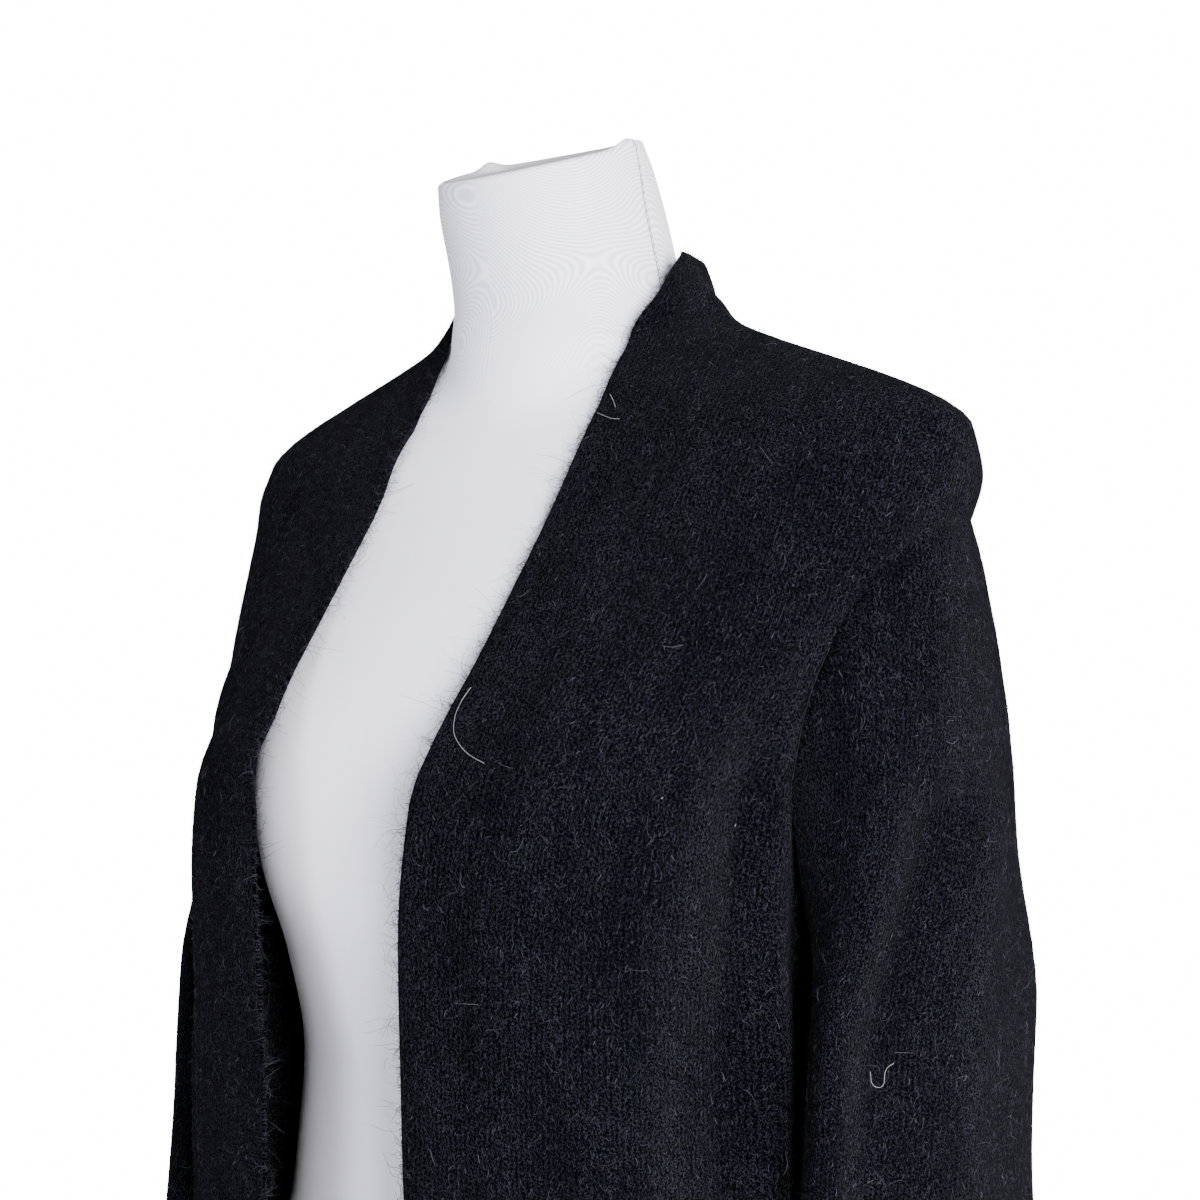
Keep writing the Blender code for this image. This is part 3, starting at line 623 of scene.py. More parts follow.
# Height, half width, the middle's y, depth in front and behind, and how square the section is.
DRAPE = Sections((
    (62.0, 18.6, 0.0, 14.9, 14.6, 2.6),
    (80.0, 18.0, 0.0, 15.0, 14.2, 2.7),
    (92.0, 17.5, 0.0, 15.0, 13.8, 2.8),
    (104.0, 17.1, 0.0, 15.2, 13.2, 3.0),
    (112.0, 16.9, 0.0, 15.6, 12.7, 3.0),
    (118.0, 17.0, 0.4, 16.0, 12.4, 2.8),
    (122.0, 18.2, 1.0, 14.7, 12.2, 2.4),
    (126.0, 20.0, 1.7, 12.6, 11.8, 2.2),
    (130.0, 21.6, 2.5, 10.2, 10.8, 2.1),
    (133.0, 22.1, 3.1, 8.4, 9.4, 2.1),
    (135.0, 20.6, 3.1, 6.0, 7.0, 2.0),
    (137.0, 15.0, 2.7, 3.0, 5.0, 2.0),
    (140.0, 10.0, 2.1, 2.0, 3.0, 2.0),
    (145.0, 4.0, 2.1, 1.0, 1.0, 2.0),
))
# Height, how far the sleeve's head stands out from the body there, and how round it is.
SLEEVE_HEAD = Sections((
    (119.0, 6.35, 0.45),
    (122.0, 5.2, 0.50),
    (125.0, 3.6, 0.60),
    (128.0, 1.8, 0.80),
    (131.0, 0.0, 1.00),
))
# Height, the sleeve's middle, and half its width and depth.
SLEEVE = Sections((
    (79.0, 21.9, 2.0, 2.9, 9.1),
    (90.0, 21.3, 2.3, 3.0, 9.5),
    (101.0, 20.6, 2.5, 3.0, 9.3),
    (110.0, 20.65, 3.05, 3.0, 9.2),
    (119.0, 20.45, 3.3, 3.0, 8.7),
))
SLEEVE_OUTER_ANGLE = 140.0
SLEEVE_SETTLE = 12.0
# The front edges by height, x and y over the body. The two sides hang a little differently.
EDGES = {
    1: Sections((
        (62.0, 5.0, -14.4),
        (98.0, 4.6, -14.7),
        (112.0, 4.75, -15.3),
        (118.0, 5.4, -15.3),
        (121.0, 5.75, -14.0),
        (124.0, 6.1, -11.8),
        (128.0, 6.25, -8.9),
        (134.0, 6.4, -4.8),
        (138.0, 6.4, -2.1),
        (140.0, 6.2, -0.75),
        (141.2, 6.3, -0.3),
        (142.4, 6.55, 0.45),
        (143.6, 6.9, 1.5),
        (144.7, 7.2, 3.0),
    )),
    -1: Sections((
        (62.0, 4.8, -14.4),
        (98.0, 4.45, -14.7),
        (112.0, 4.55, -15.3),
        (116.8, 4.65, -15.4),
        (120.2, 5.5, -14.3),
        (124.0, 5.5, -11.8),
        (127.0, 5.55, -9.7),
        (130.0, 5.8, -7.5),
        (134.0, 5.85, -4.8),
        (138.0, 5.95, -2.1),
        (140.0, 6.1, -0.7),
        (141.2, 6.3, -0.1),
        (142.4, 6.5, 0.8),
        (143.6, 6.6, 1.9),
        (144.7, 6.6, 3.0),
    )),
}
# How far the garment's neck stands off the form on each side, by height.
LIFTS = {
    1: Sections((
        (131.0, 0.0),
        (134.0, 0.2),
        (136.0, 0.22),
        (137.6, 0.2),
        (140.0, 0.4),
        (141.8, 1.35),
        (143.4, 1.2),
        (144.7, 0.8),
    )),
    -1: Sections((
        (131.0, 0.0),
        (134.0, 0.2),
        (136.0, 0.15),
        (138.0, 0.0),
        (140.2, 0.0),
        (142.0, 0.5),
        (143.4, 0.4),
        (144.7, 0.2),
    )),
}

# Long soft folds. A positive depth stands out and a negative one is a trough.
FOLD_COLUMNS = ("side", "top", "bottom", "top_angle", "bottom_angle", "half_angle", "depth")
FOLDS = (
    (1, 124.0, 64.0, -15.0, -18.0, 4.0, 0.70),
    (1, 114.0, 60.0, -16.0, -19.0, 5.0, 0.80),
    (1, 124.0, 62.0, -21.5, -25.5, 4.0, -0.70),
    (1, 114.0, 60.0, -29.5, -31.0, 4.5, -0.60),
    (1, 122.0, 66.0, -36.0, -40.0, 6.5, 0.30),
    (1, 108.0, 58.0, -49.0, -51.0, 5.0, -0.50),
    (-1, 128.0, 118.0, -52.0, -24.0, 5.0, 0.35),
    (-1, 128.0, 110.0, -37.0, -42.0, 12.0, -0.45),
    (-1, 116.0, 60.0, -27.0, -30.0, 5.0, -0.60),
    (-1, 110.0, 60.0, -44.0, -47.0, 5.5, -0.50),
    (1, 118.0, 60.0, 38.0, 36.0, 6.0, -0.70),
    (1, 122.0, 60.0, 62.0, 60.0, 7.0, -0.60),
    (-1, 120.0, 60.0, 42.0, 39.0, 6.5, -0.65),
    (-1, 116.0, 60.0, 70.0, 71.0, 6.0, -0.55),
)
SLEEVE_FOLDS = (
    (1, 124.0, 82.0, -80.0, -86.0, 11.0, 0.30),
    (1, 124.0, 82.0, -49.0, -59.0, 15.0, -0.85),
    (1, 124.0, 82.0, -13.0, -15.0, 15.0, 0.60),
    (1, 112.0, 80.0, 40.0, 52.0, 18.0, -0.40),
    (-1, 124.0, 82.0, -24.0, -36.0, 17.0, -0.40),
    (-1, 114.0, 80.0, 46.0, 38.0, 18.0, -0.35),
)
FOLD_FADE = 7.0


def fold_depth(table, side, degrees, height):
    """How far the folds of one side stand out, each fading at its two ends."""
    total = np.zeros(np.broadcast(degrees, height).shape)
    for row in table:
        fold = dict(zip(FOLD_COLUMNS, row))
        down = np.clip((fold["top"] - height) / (fold["top"] - fold["bottom"]), 0, 1)
        centre = fold["top_angle"] + (fold["bottom_angle"] - fold["top_angle"]) * down
        fade = smoothstep(fold["bottom"] - FOLD_FADE, fold["bottom"], height)
        fade = fade * (1 - smoothstep(fold["top"] - FOLD_FADE, fold["top"], height)) * (side == fold["side"])
        total = total + fold["depth"] * fade * bell(degrees, centre, fold["half_angle"])
    return total


def armhole_height(degrees):
    """Height of the armhole's outline at an angle."""
    share = np.minimum(np.abs(degrees - SIDE_SEAM) / ARMHOLE_HALF_ANGLE, 1.0)
    return ARMPIT + (ARMHOLE_TOP - ARMPIT) * (1 - share ** ARMHOLE_POWER) ** (1 / ARMHOLE_POWER)


def sleeve_head(degrees, height):
    """How far the cloth stands out from the body inside the armhole."""
    rise = np.clip((height - ARMPIT) / (ARMHOLE_TOP - ARMPIT), 0, 1)
    half = ARMHOLE_HALF_ANGLE * (1 - rise ** ARMHOLE_POWER) ** (1 / ARMHOLE_POWER)
    half = np.maximum(half, 1e-6)
    away = np.minimum(np.abs(degrees - SIDE_SEAM) / half, 1.0)
    depth, roundness = SLEEVE_HEAD.read(height)
    return depth * (1 - away ** HEAD_SQUARENESS) ** roundness


def edge_angle(side, height):
    """Angle of the front edge at a height."""
    height = np.asarray(height, float)
    x, y = EDGES[side].read(height)
    return np.degrees(np.arctan2(y - DRAPE.read(height)[1], x))


def hang(side, degrees, height):
    """Points of the cardigan's outer face without its folds, and the level direction out."""
    side, degrees, height = (np.asarray(v, float) for v in (side, degrees, height))
    side, degrees, height = np.broadcast_arrays(side, degrees, height)
    rest = form_point(degrees, height) + REST_GAP * surface_normal(form_point, degrees, height)
    angle = np.radians(degrees)
    half_width, centre, front, back, power = DRAPE.read(height)
    drape = section_reach(angle, half_width, front, back, power)
    outward = np.stack((np.cos(angle), np.sin(angle), np.zeros_like(angle)), -1)
    from_centre = rest - np.stack((np.zeros_like(centre), centre, np.zeros_like(centre)), -1)
    spare = drape - (from_centre * outward).sum(-1)
    ease = 0.5 * (spare + np.sqrt(spare * spare + EASE_BLEND ** 2))
    ease = ease * (1 - smoothstep(SHOULDER_START, EASE_TOP, height))
    left = 0.5 + 0.5 * side * (1 - smoothstep(*NECK_BACK, degrees))
    ease = ease + left * LIFTS[1].read(height)[0] + (1 - left) * LIFTS[-1].read(height)[0]
    return rest + ease[..., None] * outward, outward


def garment_point(side, degrees, height, head=0.0):
    """Points of the cardigan's outer face; head of 1 adds the sleeve's own fullness."""
    point, outward = hang(side, degrees, height)
    fold = fold_depth(FOLDS, side, degrees, height) + head * sleeve_head(degrees, height)
    point = point + fold[..., None] * outward
    return point * np.stack(np.broadcast_arrays(side, np.ones_like(fold), np.ones_like(fold)), -1)


def garment_normal(side, degrees, height):
    """The direction straight out of the cardigan's outer face."""
    normal = surface_normal(lambda a, h: garment_point(side, a, h), degrees, height, rise=0.15)
    return normal * np.asarray(side)[..., None]


# ---------------------------------------------------------------------------------------------------
# The knit: near-black wool and mohair yarn in stocking stitch, brushed until short fibres cover the
# stitches. The wales run up the panels and still show on the shoulders.
WALE = 0.24
COURSE = 0.18
YARN_WANDER = 0.16
STITCH_SLANT = 1.7
GROUND_YARN = ((0.0003, 0.0003, 0.0006), (0.0012, 0.0012, 0.0022))
BRUSHED_YARN = ((0.0160, 0.0173, 0.0232), (0.0180, 0.0164, 0.0266))

knit = Finish("brushed_knit", Roughness=1.0, Specular_IOR_Level=0.0,
              Sheen_Weight=0.016, Sheen_Roughness=0.25, Sheen_Tint=(0.88, 0.91, 1.0))
loop_place = knit.node("ShaderNodeUVMap", {"uv_map": "Knit"})
across = knit.node("ShaderNodeSeparateXYZ", None, {0: loop_place})
up = across.beside(1)
wobble = knit.node("ShaderNodeTexNoise", None, {"Vector": loop_place, "Scale": 1.1, "Detail": 2.0})
wander = (wobble - 0.5) * YARN_WANDER
in_wale = ((across + wander) * (1 / WALE)).math("FRACT") - 0.5
ridge = (in_wale * (2 * math.pi)).math("COSINE") * 0.5 + 0.5
slant = in_wale.math("ABSOLUTE") * STITCH_SLANT
row = (((up + wander) * (1 / COURSE) - slant) * (2 * math.pi)).math("SINE") * 0.5 + 0.5
stitch = ridge * (row * 0.55 + 0.45)


def strokes(lean, fine, long_scale, seed):
    """Short fibres lying at a lean from the wale, as a fine stretched noise."""
    turned = knit.node("ShaderNodeMapping", None, {
        "Vector": loop_place, "Rotation": (0, 0, math.radians(lean)), "Location": (seed, seed * 1.7, seed)})
    drawn = knit.node("ShaderNodeMapping", None, {"Vector": turned, "Scale": (fine, long_scale, 1.0)})
    return knit.node("ShaderNodeTexNoise", None, {
        "Vector": drawn, "Scale": 1.0, "Detail": 2.0, "Roughness": 0.6, "Distortion": 0.4})


one_way = strokes(16, 20.0, 9.0, 3.1)
other_way = strokes(-22, 19.0, 8.6, 7.7)
cross_way = strokes(64, 16.0, 8.2, 12.3)
most = one_way.math("MAXIMUM", other_way).math("MAXIMUM", cross_way * 0.90) + (stitch - 0.45) * 0.030
hairs = knit.node("ShaderNodeMapRange", None, {0: most, 1: 0.54, 2: 0.68, 3: 0.0, 4: 1.0})
stretched = knit.node("ShaderNodeMapping", None, {"Vector": loop_place, "Scale": (0.42, 0.13, 1.0)})
patches = knit.node("ShaderNodeTexNoise", None, {"Vector": stretched, "Scale": 1.0, "Detail": 4.0})
thick = knit.node("ShaderNodeMapRange", None, {0: patches, 1: 0.35, 2: 0.65, 3: 0.55, 4: 1.0})
dye = knit.node("ShaderNodeTexNoise", None, {
    "Vector": stretched, "Scale": 2.3, "Detail": 5.0, "Roughness": 0.7})
dye = knit.node("ShaderNodeMapRange", None, {0: dye, 1: 0.42, 2: 0.58, 3: 0.0, 4: 1.0})
ground = knit.mix(stitch, *GROUND_YARN)
hair = knit.mix(dye, *BRUSHED_YARN)
colour = knit.mix(hairs * thick, ground, hair)
height = stitch * 0.22 + hairs * 0.6 + most * 0.5
bump = knit.node("ShaderNodeBump", None, {"Strength": 0.75, "Distance": 0.0011, "Height": height})
knit.surface(Base_Color=colour, Normal=bump)


# ---------------------------------------------------------------------------------------------------
# How a panel is made: a wall of cloth between two faces, rounded along its free edges and flat at its
# seams. Its columns follow the wales up the body and part round the armhole.
MEASURE_STEPS = 15
EDGE_TURNS = (45.0, 90.0, 135.0)
CLOTH_SHARP_ANGLE = 62.0


class Panel:
    """One knitted panel in the making: named places on the body, and grids of faces between them."""

    def __init__(self, name, side, wales_from):
        self.name = name
        self.side = side
        self.wales_from = wales_from
        self.index = {}
        self.sides = []
        self.angles = []
        self.heights = []
        self.free = []
        self.faces = []
        self.corners = []

    def place(self, key, angle, height, free=False, side=None):
        """The number of a named place, which is added when the name is new."""
        if key not in self.index:
            self.index[key] = len(self.angles)
            self.angles.append(float(angle))
            self.heights.append(float(height))
            self.free.append(free)
            self.sides.append(self.side if side is None else side)
        return self.index[key]

    def locate(self):
        """Outer points, directions out and the knit's own coordinates of all the places."""
        side, angle, height = (np.array(v, float) for v in (self.sides, self.angles, self.heights))
        self.points = garment_point(side, angle, height)
        self.normals = garment_normal(side, angle, height)
        steps = np.linspace(0, 1, MEASURE_STEPS)[:, None]
        grid = MEASURE_STEPS, len(height)
        start = self.wales_from(height)
        line, _ = hang(side, start + (angle - start) * steps, np.broadcast_to(height, grid))
        round_cm = np.linalg.norm(np.diff(line, axis=0), axis=-1).sum(0) * np.where(side < 0, -1, 1)
        rise, _ = hang(side, np.broadcast_to(angle, grid), HEM + (height - HEM) * steps)
        up_cm = np.linalg.norm(np.diff(rise, axis=0), axis=-1).sum(0)
        self.knit_place = np.column_stack((round_cm, up_cm))

    def grid(self, rows, places=None, flip=False):
        """Faces between rows of places, each row running round the body and the next one above it."""
        rows = np.asarray(rows)
        quads = np.stack((rows[:-1, :-1], rows[:-1, 1:], rows[1:, 1:], rows[1:, :-1]), -1).reshape(-1, 4)
        if places is None:
            at = self.knit_place[quads]
        else:
            at = np.stack((places[:-1, :-1], places[:-1, 1:], places[1:, 1:], places[1:, :-1]), 2)
            at = at.reshape(-1, 4, 2)
        for quad, spot in zip(quads.tolist(), at):
            keep = [i for i in range(4) if quad[i] != quad[i - 1]]
            if len(keep) > 2:
                keep = keep[::-1] if flip else keep
                self.faces.append([quad[i] for i in keep])
                self.corners.append([spot[i] for i in keep])

    def border(self):
        """The edges that belong to one face, each with its place in that face."""
        used = {}
        for f, face in enumerate(self.faces):
            for i, a in enumerate(face):
                used[(a, face[(i + 1) % len(face)])] = (f, i)
        return [(edge, where) for edge, where in used.items() if edge[::-1] not in used]

    def build(self):
        """The panel with its wall turned inwards, soft round edges where it is free, and flat seams."""
        count = len(self.points)
        free = np.array(self.free, float)[:, None]
        outward = np.zeros((count, 3))
        border = self.border()
        for (a, b), _ in border:
            across = np.cross(self.points[b] - self.points[a], self.normals[a] + self.normals[b])
            for v in (a, b):
                outward[v] += across / max(np.linalg.norm(across), 1e-9)
        length = np.linalg.norm(outward, axis=1, keepdims=True)
        outward = outward / np.maximum(length, 1e-9) * free
        self.outward = outward
        middle = self.points - self.normals * WALL / 2
        points = [self.points]
        edge = sorted({v for (a, b), _ in border for v in (a, b)})
        number = {v: i for i, v in enumerate(edge)}
        for turn in EDGE_TURNS:
            c, s = math.cos(math.radians(turn)), math.sin(math.radians(turn))
            ring = middle + WALL / 2 * (c * self.normals + s * outward)
            points.append(ring[edge])
        points.append(self.points - WALL * self.normals)
        inner = count + len(EDGE_TURNS) * len(edge)
        faces = list(self.faces)
        corners = list(self.corners)
        for face, spots in zip(self.faces, self.corners):
            faces.append([v + inner for v in face[::-1]])
            corners.append(spots[::-1])
        for (a, b), (f, i) in border:
            spot_a, spot_b = self.corners[f][i], self.corners[f][(i + 1) % len(self.faces[f])]
            rings = [count + k * len(edge) for k in range(len(EDGE_TURNS))]
            chain_a = [a] + [ring + number[a] for ring in rings] + [a + inner]
            chain_b = [b] + [ring + number[b] for ring in rings] + [b + inner]
            for k in range(len(EDGE_TURNS) + 1):
                faces.append([chain_b[k], chain_a[k], chain_a[k + 1], chain_b[k + 1]])
                corners.append([spot_b, spot_a, spot_a, spot_b])
        piece = add_piece(self.name, np.vstack(points), faces)
        piece.data.set_sharp_from_angle(angle=math.radians(CLOTH_SHARP_ANGLE))
        layer = piece.data.uv_layers.new(name="Knit")
        flat = np.array([spot for spots in corners for spot in spots], np.float32)
        layer.data.foreach_set("uv", flat.ravel())
        piece.data.materials.append(knit.material)
        return piece


INSIDE_ARMHOLE = 0.999
NARROWEST = 5.0


class Strand:
    """One column of a panel: its angle at each height, and whether the armhole cuts it."""

    def __init__(self, side, start, share=1.0, trim=0):
        self.side, self.start, self.share, self.trim = side, start, share, trim
        self.cut = start is not None and abs(start - SIDE_SEAM) < ARMHOLE_HALF_ANGLE * INSIDE_ARMHOLE
        self.low = ARMPIT
        if self.cut:
            self.low = float(armhole_height(np.array(start))) + SEAM_GAP / 2

    def angle(self, height):
        """The column's angle, which keeps clear of the side seam by half its gap."""
        if self.start is not None:
            half_width = max(float(TORSO.read(np.array(float(height)))[0]), NARROWEST)
            return self.start + self.trim * math.degrees(SEAM_GAP / 2 / half_width)
        edge = float(edge_angle(self.side, min(height, SHOULDER_START)))
        corner = SIDE_SEAM - ARMHOLE_HALF_ANGLE
        return edge + (corner - edge) * self.share


BODY_ROW = 0.85
SHOULDER_ROWS = 30
STAND_ROWS = 10
YOKE_ROWS = 22
YOKE_CROWDING = 1.35
ARMHOLE_STRANDS = 22
STAND_DROP = 0.8
STAND_DROPS_FROM = (-10.0, 28.0)
body_heights = np.linspace(HEM, ARMPIT, int((ARMPIT - HEM) / BODY_ROW))
shoulder_heights = np.linspace(SHOULDER_START, BAND_SEAM, SHOULDER_ROWS)[1:]
stand_heights = np.linspace(BAND_SEAM, STAND_TOP, STAND_ROWS)[1:]


def armhole_angles(start, end):
    """Angles of the armhole's columns, closer together towards its corners."""
    steps = np.linspace(start, end, ARMHOLE_STRANDS)
    return [SIDE_SEAM + ARMHOLE_HALF_ANGLE * math.sin(math.pi / 2 * s) for s in steps]


def stand_height(angle, height):
    """Heights of the neck stand, whose top edge falls a little from the front edge to the side."""
    share = max(height - BAND_SEAM, 0.0) / (STAND_TOP - BAND_SEAM)
    return height - STAND_DROP * share * float(smoothstep(*STAND_DROPS_FROM, angle))


def knit_panel(name, side, strands, top_heights, wales_from, has_edge=False):
    """Lay one panel's grid: below the armpit, beside and above the armhole, and over the shoulder."""
    panel = Panel(name, side, wales_from)
    body = []
    for r, height in enumerate(body_heights):
        hem = r == 0
        row = []
        for c, s in enumerate(strands):
            free = hem or (has_edge and c == 0)
            row.append(panel.place(("body", r, c), s.angle(height), height, free, s.side))
        body.append(row)
    last = len(body_heights) - 1
    yoke = []
    for r in range(YOKE_ROWS + 1):
        row = []
        for c, s in enumerate(strands):
            height = s.low + (SHOULDER_START - s.low) * (r / YOKE_ROWS) ** YOKE_CROWDING
            key = ("body", last, c) if r == 0 and not s.cut else ("yoke", r, c)
            row.append(panel.place(key, s.angle(height), height, has_edge and c == 0, s.side))
        yoke.append(row)
    for height in top_heights:
        edge = float(edge_angle(side, height)) if has_edge else -180.0
        top = has_edge and height == top_heights[-1]
        row = []
        for c, s in enumerate(strands):
            passed = has_edge and (c == 0 or s.angle(height) < edge + EDGE_MERGE)
            key = ("edge", height) if passed else ("top", height, c)
            angle = edge if passed else s.angle(height)
            row.append(panel.place(key, angle, stand_height(angle, height), passed or top, s.side))
        yoke.append(row)
    panel.locate()
    panel.grid(body, flip=side < 0)
    panel.grid(yoke, flip=side < 0)
    return panel


# ---------------------------------------------------------------------------------------------------
# The back: one knitted panel with dropped shoulders, linked to the fronts over the shoulders and down
# the sides.


def back_strands(angles):
    """Columns from the left seam round the back to the right seam."""
    left = [Strand(1, a) for a in angles]
    right = [Strand(-1, a) for a in angles[-2::-1]]
    left[0].trim = right[-1].trim = 1
    return left + right


BACK_STRANDS = 42
corner_angle = SIDE_SEAM + ARMHOLE_HALF_ANGLE
back_angles = armhole_angles(0, 1) + list(np.linspace(corner_angle, 90.0, BACK_STRANDS + 1))[1:]
back_panel = knit_panel("cardigan_back", 1, back_strands(back_angles), list(shoulder_heights),
                        lambda height: np.full_like(height, 90.0))
back = back_panel.build()
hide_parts("back")
back_cut = {"flat": (0.474, 0.810), "area": 0.344}

# ---------------------------------------------------------------------------------------------------
# The fronts: two panels with a plain selvedge and no fastening. Each runs on past the shoulder as its
# half of the neck stand.
FRONT_STRANDS = 40
EDGE_CROWDING = 1.12
fronts = {}
for word, side in (("left", 1), ("right", -1)):
    spread = np.linspace(0, 1, FRONT_STRANDS + 1)[:-1] ** EDGE_CROWDING
    strands = [Strand(side, None, share) for share in spread]
    strands += [Strand(side, a) for a in armhole_angles(-1, 0)]
    strands[-1].trim = -1
    heights = list(shoulder_heights) + list(stand_heights)
    panel = knit_panel("cardigan_front_" + word, side, strands, heights,
                       lambda height, side=side: edge_angle(side, height), has_edge=True)
    piece = panel.build()
    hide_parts("front_" + word)
    fronts[word] = (panel, piece)
front_cut = {"flat": (0.265, 0.912), "area": 0.203}

# ---------------------------------------------------------------------------------------------------
# The neck band: the stand round the back of the neck, linked to the back and to both fronts.
BAND_STRANDS = 30
band_panel = Panel("cardigan_neck_band", 1, lambda height: np.full_like(height, 90.0))
band_rows = []
strands = back_strands(list(np.linspace(SIDE_SEAM, 90.0, BAND_STRANDS + 1)))
for height in [BAND_SEAM + SEAM_GAP] + list(stand_heights):
    row = []
    for c, s in enumerate(strands):
        angle = s.angle(height)
        free = height == STAND_TOP
        row.append(band_panel.place((height, c), angle, stand_height(angle, height), free, s.side))
    band_rows.append(row)
band_panel.locate()
band_panel.grid(band_rows)
band = band_panel.build()
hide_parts("neck_band")
band_cut = {"flat": (0.207, 0.028), "area": 0.0052}

# ---------------------------------------------------------------------------------------------------
# The sleeves: long, loose and wide, sewn into the deep armholes. Nothing fills them, so they hang
# flat beside the body, and each is a tube that starts as the armhole's outline.
SLEEVE_ROW = 0.8
UNDER_STRANDS = 18
HEAD_ROWS = 22
HEAD_CROWDING = 1.2
HEAD_STARTS = 107.0
# The body's half width at the armpit, which turns the seam's gap into an angle.
ARMPIT_HALF_WIDTH = 17.0


def oval(share, inner, height):
    """Points of the hanging sleeve, the direction out of it and the turn round it, for its left side."""
    turn = np.where(inner, 180.0 - (180.0 - SLEEVE_OUTER_ANGLE) * share, SLEEVE_OUTER_ANGLE * share)
    angle = np.radians(turn)
    centre_x, centre_y, wide, deep = SLEEVE.read(height)
    out = np.stack((np.cos(angle) / wide, np.sin(angle) / deep, np.zeros_like(angle)), -1)
    point = np.stack((centre_x + wide * np.cos(angle), centre_y + deep * np.sin(angle), height), -1)
    return point, out / np.linalg.norm(out, axis=-1, keepdims=True), turn


def sleeve_point(side, share, inner, height, at_seam):
    """Points of the sleeve: the armhole's outline at the armpit, an oval further down."""
    half = ARMHOLE_HALF_ANGLE - math.degrees(SEAM_GAP / ARMPIT_HALF_WIDTH)
    degrees = SIDE_SEAM + half * np.sin(math.pi / 2 * share)
    level = np.maximum(height, ARMPIT)
    corner = np.abs(share) > INSIDE_ARMHOLE
    full = np.where(inner | corner | at_seam, 0.0, 1.0)
    head = garment_point(side, degrees, level, full) * np.array((side, 1.0, 1.0))
    clear = np.where(inner | corner, SEAM_GAP + (UNDERARM_GAP - SEAM_GAP) * (1 - share ** 4), 0.0)
    angle = np.radians(degrees)
    head = head + clear[..., None] * np.stack((np.cos(angle), np.sin(angle), np.zeros_like(angle)), -1)
    point, out, turn = oval(share, inner, height)
    settled = 1 - smoothstep(ARMPIT - SLEEVE_SETTLE, ARMPIT, height)
    settled = np.where(height < ARMPIT, settled, 0.0)[..., None]
    head[..., 2] = np.where(height < ARMPIT, height, head[..., 2])
    head = (1 - settled) * head + settled * point
    fold = fold_depth(SLEEVE_FOLDS, side, np.where(turn > 180, turn - 360, turn), height)
    head = head + np.where(height < ARMPIT, fold, 0.0)[..., None] * out
    return head * np.array((side, 1.0, 1.0))


# The places of both sleeves: round the outer half, back along the underarm, and up in rows.
outer = np.linspace(-1, 1, 2 * ARMHOLE_STRANDS - 1)
under = np.linspace(1, -1, UNDER_STRANDS + 2)[1:-1]
share = np.concatenate((outer, under))
inner = np.repeat((False, True), (len(outer), len(under)))
degrees = SIDE_SEAM + ARMHOLE_HALF_ANGLE * np.sin(math.pi / 2 * share)
cut = ~inner & (np.abs(share) < INSIDE_ARMHOLE)
top = np.where(cut, armhole_height(degrees) - SEAM_GAP / 2, ARMPIT)
steps = 1 - (1 - np.arange(1, HEAD_ROWS + 1) / HEAD_ROWS) ** HEAD_CROWDING
low = np.linspace(CUFF, HEAD_STARTS, int((HEAD_STARTS - CUFF) / SLEEVE_ROW))
head_heights = HEAD_STARTS + (top - HEAD_STARTS) * steps[:, None]
height = np.vstack((np.repeat(low[:, None], len(share), 1), head_heights))
rows, columns = height.shape
index = np.arange(rows * columns).reshape(rows, columns)
at_seam = np.zeros(height.shape, bool)
at_seam[-1] = True
share_grid, inner_grid = (np.broadcast_to(v, height.shape) for v in (share, inner))
level = smoothstep(ARMPIT, ARMHOLE_TOP, armhole_height(degrees))[:, None]

sleeves = {}
for word, side in (("left", 1), ("right", -1)):
    points = sleeve_point(side, share_grid, inner_grid, height, at_seam)
    closed = np.concatenate((points, points[:, :1]), 1)
    step_round = np.linalg.norm(np.diff(closed, axis=1), axis=-1).mean(0)
    round_cm = np.concatenate(((0.0,), np.cumsum(step_round)))
    up_cm = np.concatenate((height, height[:, :1]), 1)
    places = np.stack((np.broadcast_to(round_cm, up_cm.shape), up_cm), -1)
    normal = np.cross(np.roll(points, -1, 1) - np.roll(points, 1, 1), np.gradient(points, axis=0)) * side
    normal /= np.linalg.norm(normal, axis=-1, keepdims=True)
    body = garment_normal(np.full(len(share), float(side)), degrees, armhole_height(degrees))
    blended = (1 - level) * normal[-1] + level * body
    blended /= np.linalg.norm(blended, axis=1, keepdims=True)
    normal[-1] = np.where(cut[:, None], blended, normal[-1])
    panel = Panel("cardigan_sleeve_" + word, side, None)
    panel.points = points.reshape(-1, 3)
    panel.normals = normal.reshape(-1, 3)
    panel.free = list(np.repeat(np.arange(rows) == 0, columns))
    panel.grid(np.concatenate((index, index[:, :1]), 1), places, flip=side < 0)
    piece = panel.build()
    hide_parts("sleeve_" + word)
    sleeves[word] = (panel, piece)
sleeve_cut = {"flat": (0.430, 0.525), "area": 0.192}

# ---------------------------------------------------------------------------------------------------
# The nap: mohair fibres that brushing has raised from the yarn. Most are a few millimetres long and lie
# close along the wales; some are longer, stand off the cloth and curl, and show at its outlines. They
# are flat tapered strips, grown from the panels' outer faces and from their free edges.
FIBRE_TONES = (
    ("nap_dark", (0.008, 0.008, 0.012)),
    ("nap_grey", (0.023, 0.0235, 0.033)),
    ("nap_pale", (0.060, 0.062, 0.075)),
)
fibre_paints = []
for name, tone in FIBRE_TONES:
    fibre_paints.append(Finish(name, Base_Color=tone, Roughness=0.8, Specular_IOR_Level=0.15).material)

# The shares of the three tones, and the ranges of the fibres' lengths and widths.
SHORT_TONES, SHORT_LENGTHS, SHORT_WIDTHS = (0.45, 0.52, 0.03), (0.18, 0.46), (0.012, 0.020)
LONG_TONES, LONG_LENGTHS, LONG_WIDTHS = (0.50, 0.44, 0.06), (0.5, 1.3), (0.011, 0.017)
ROOT_DEPTH = 0.015


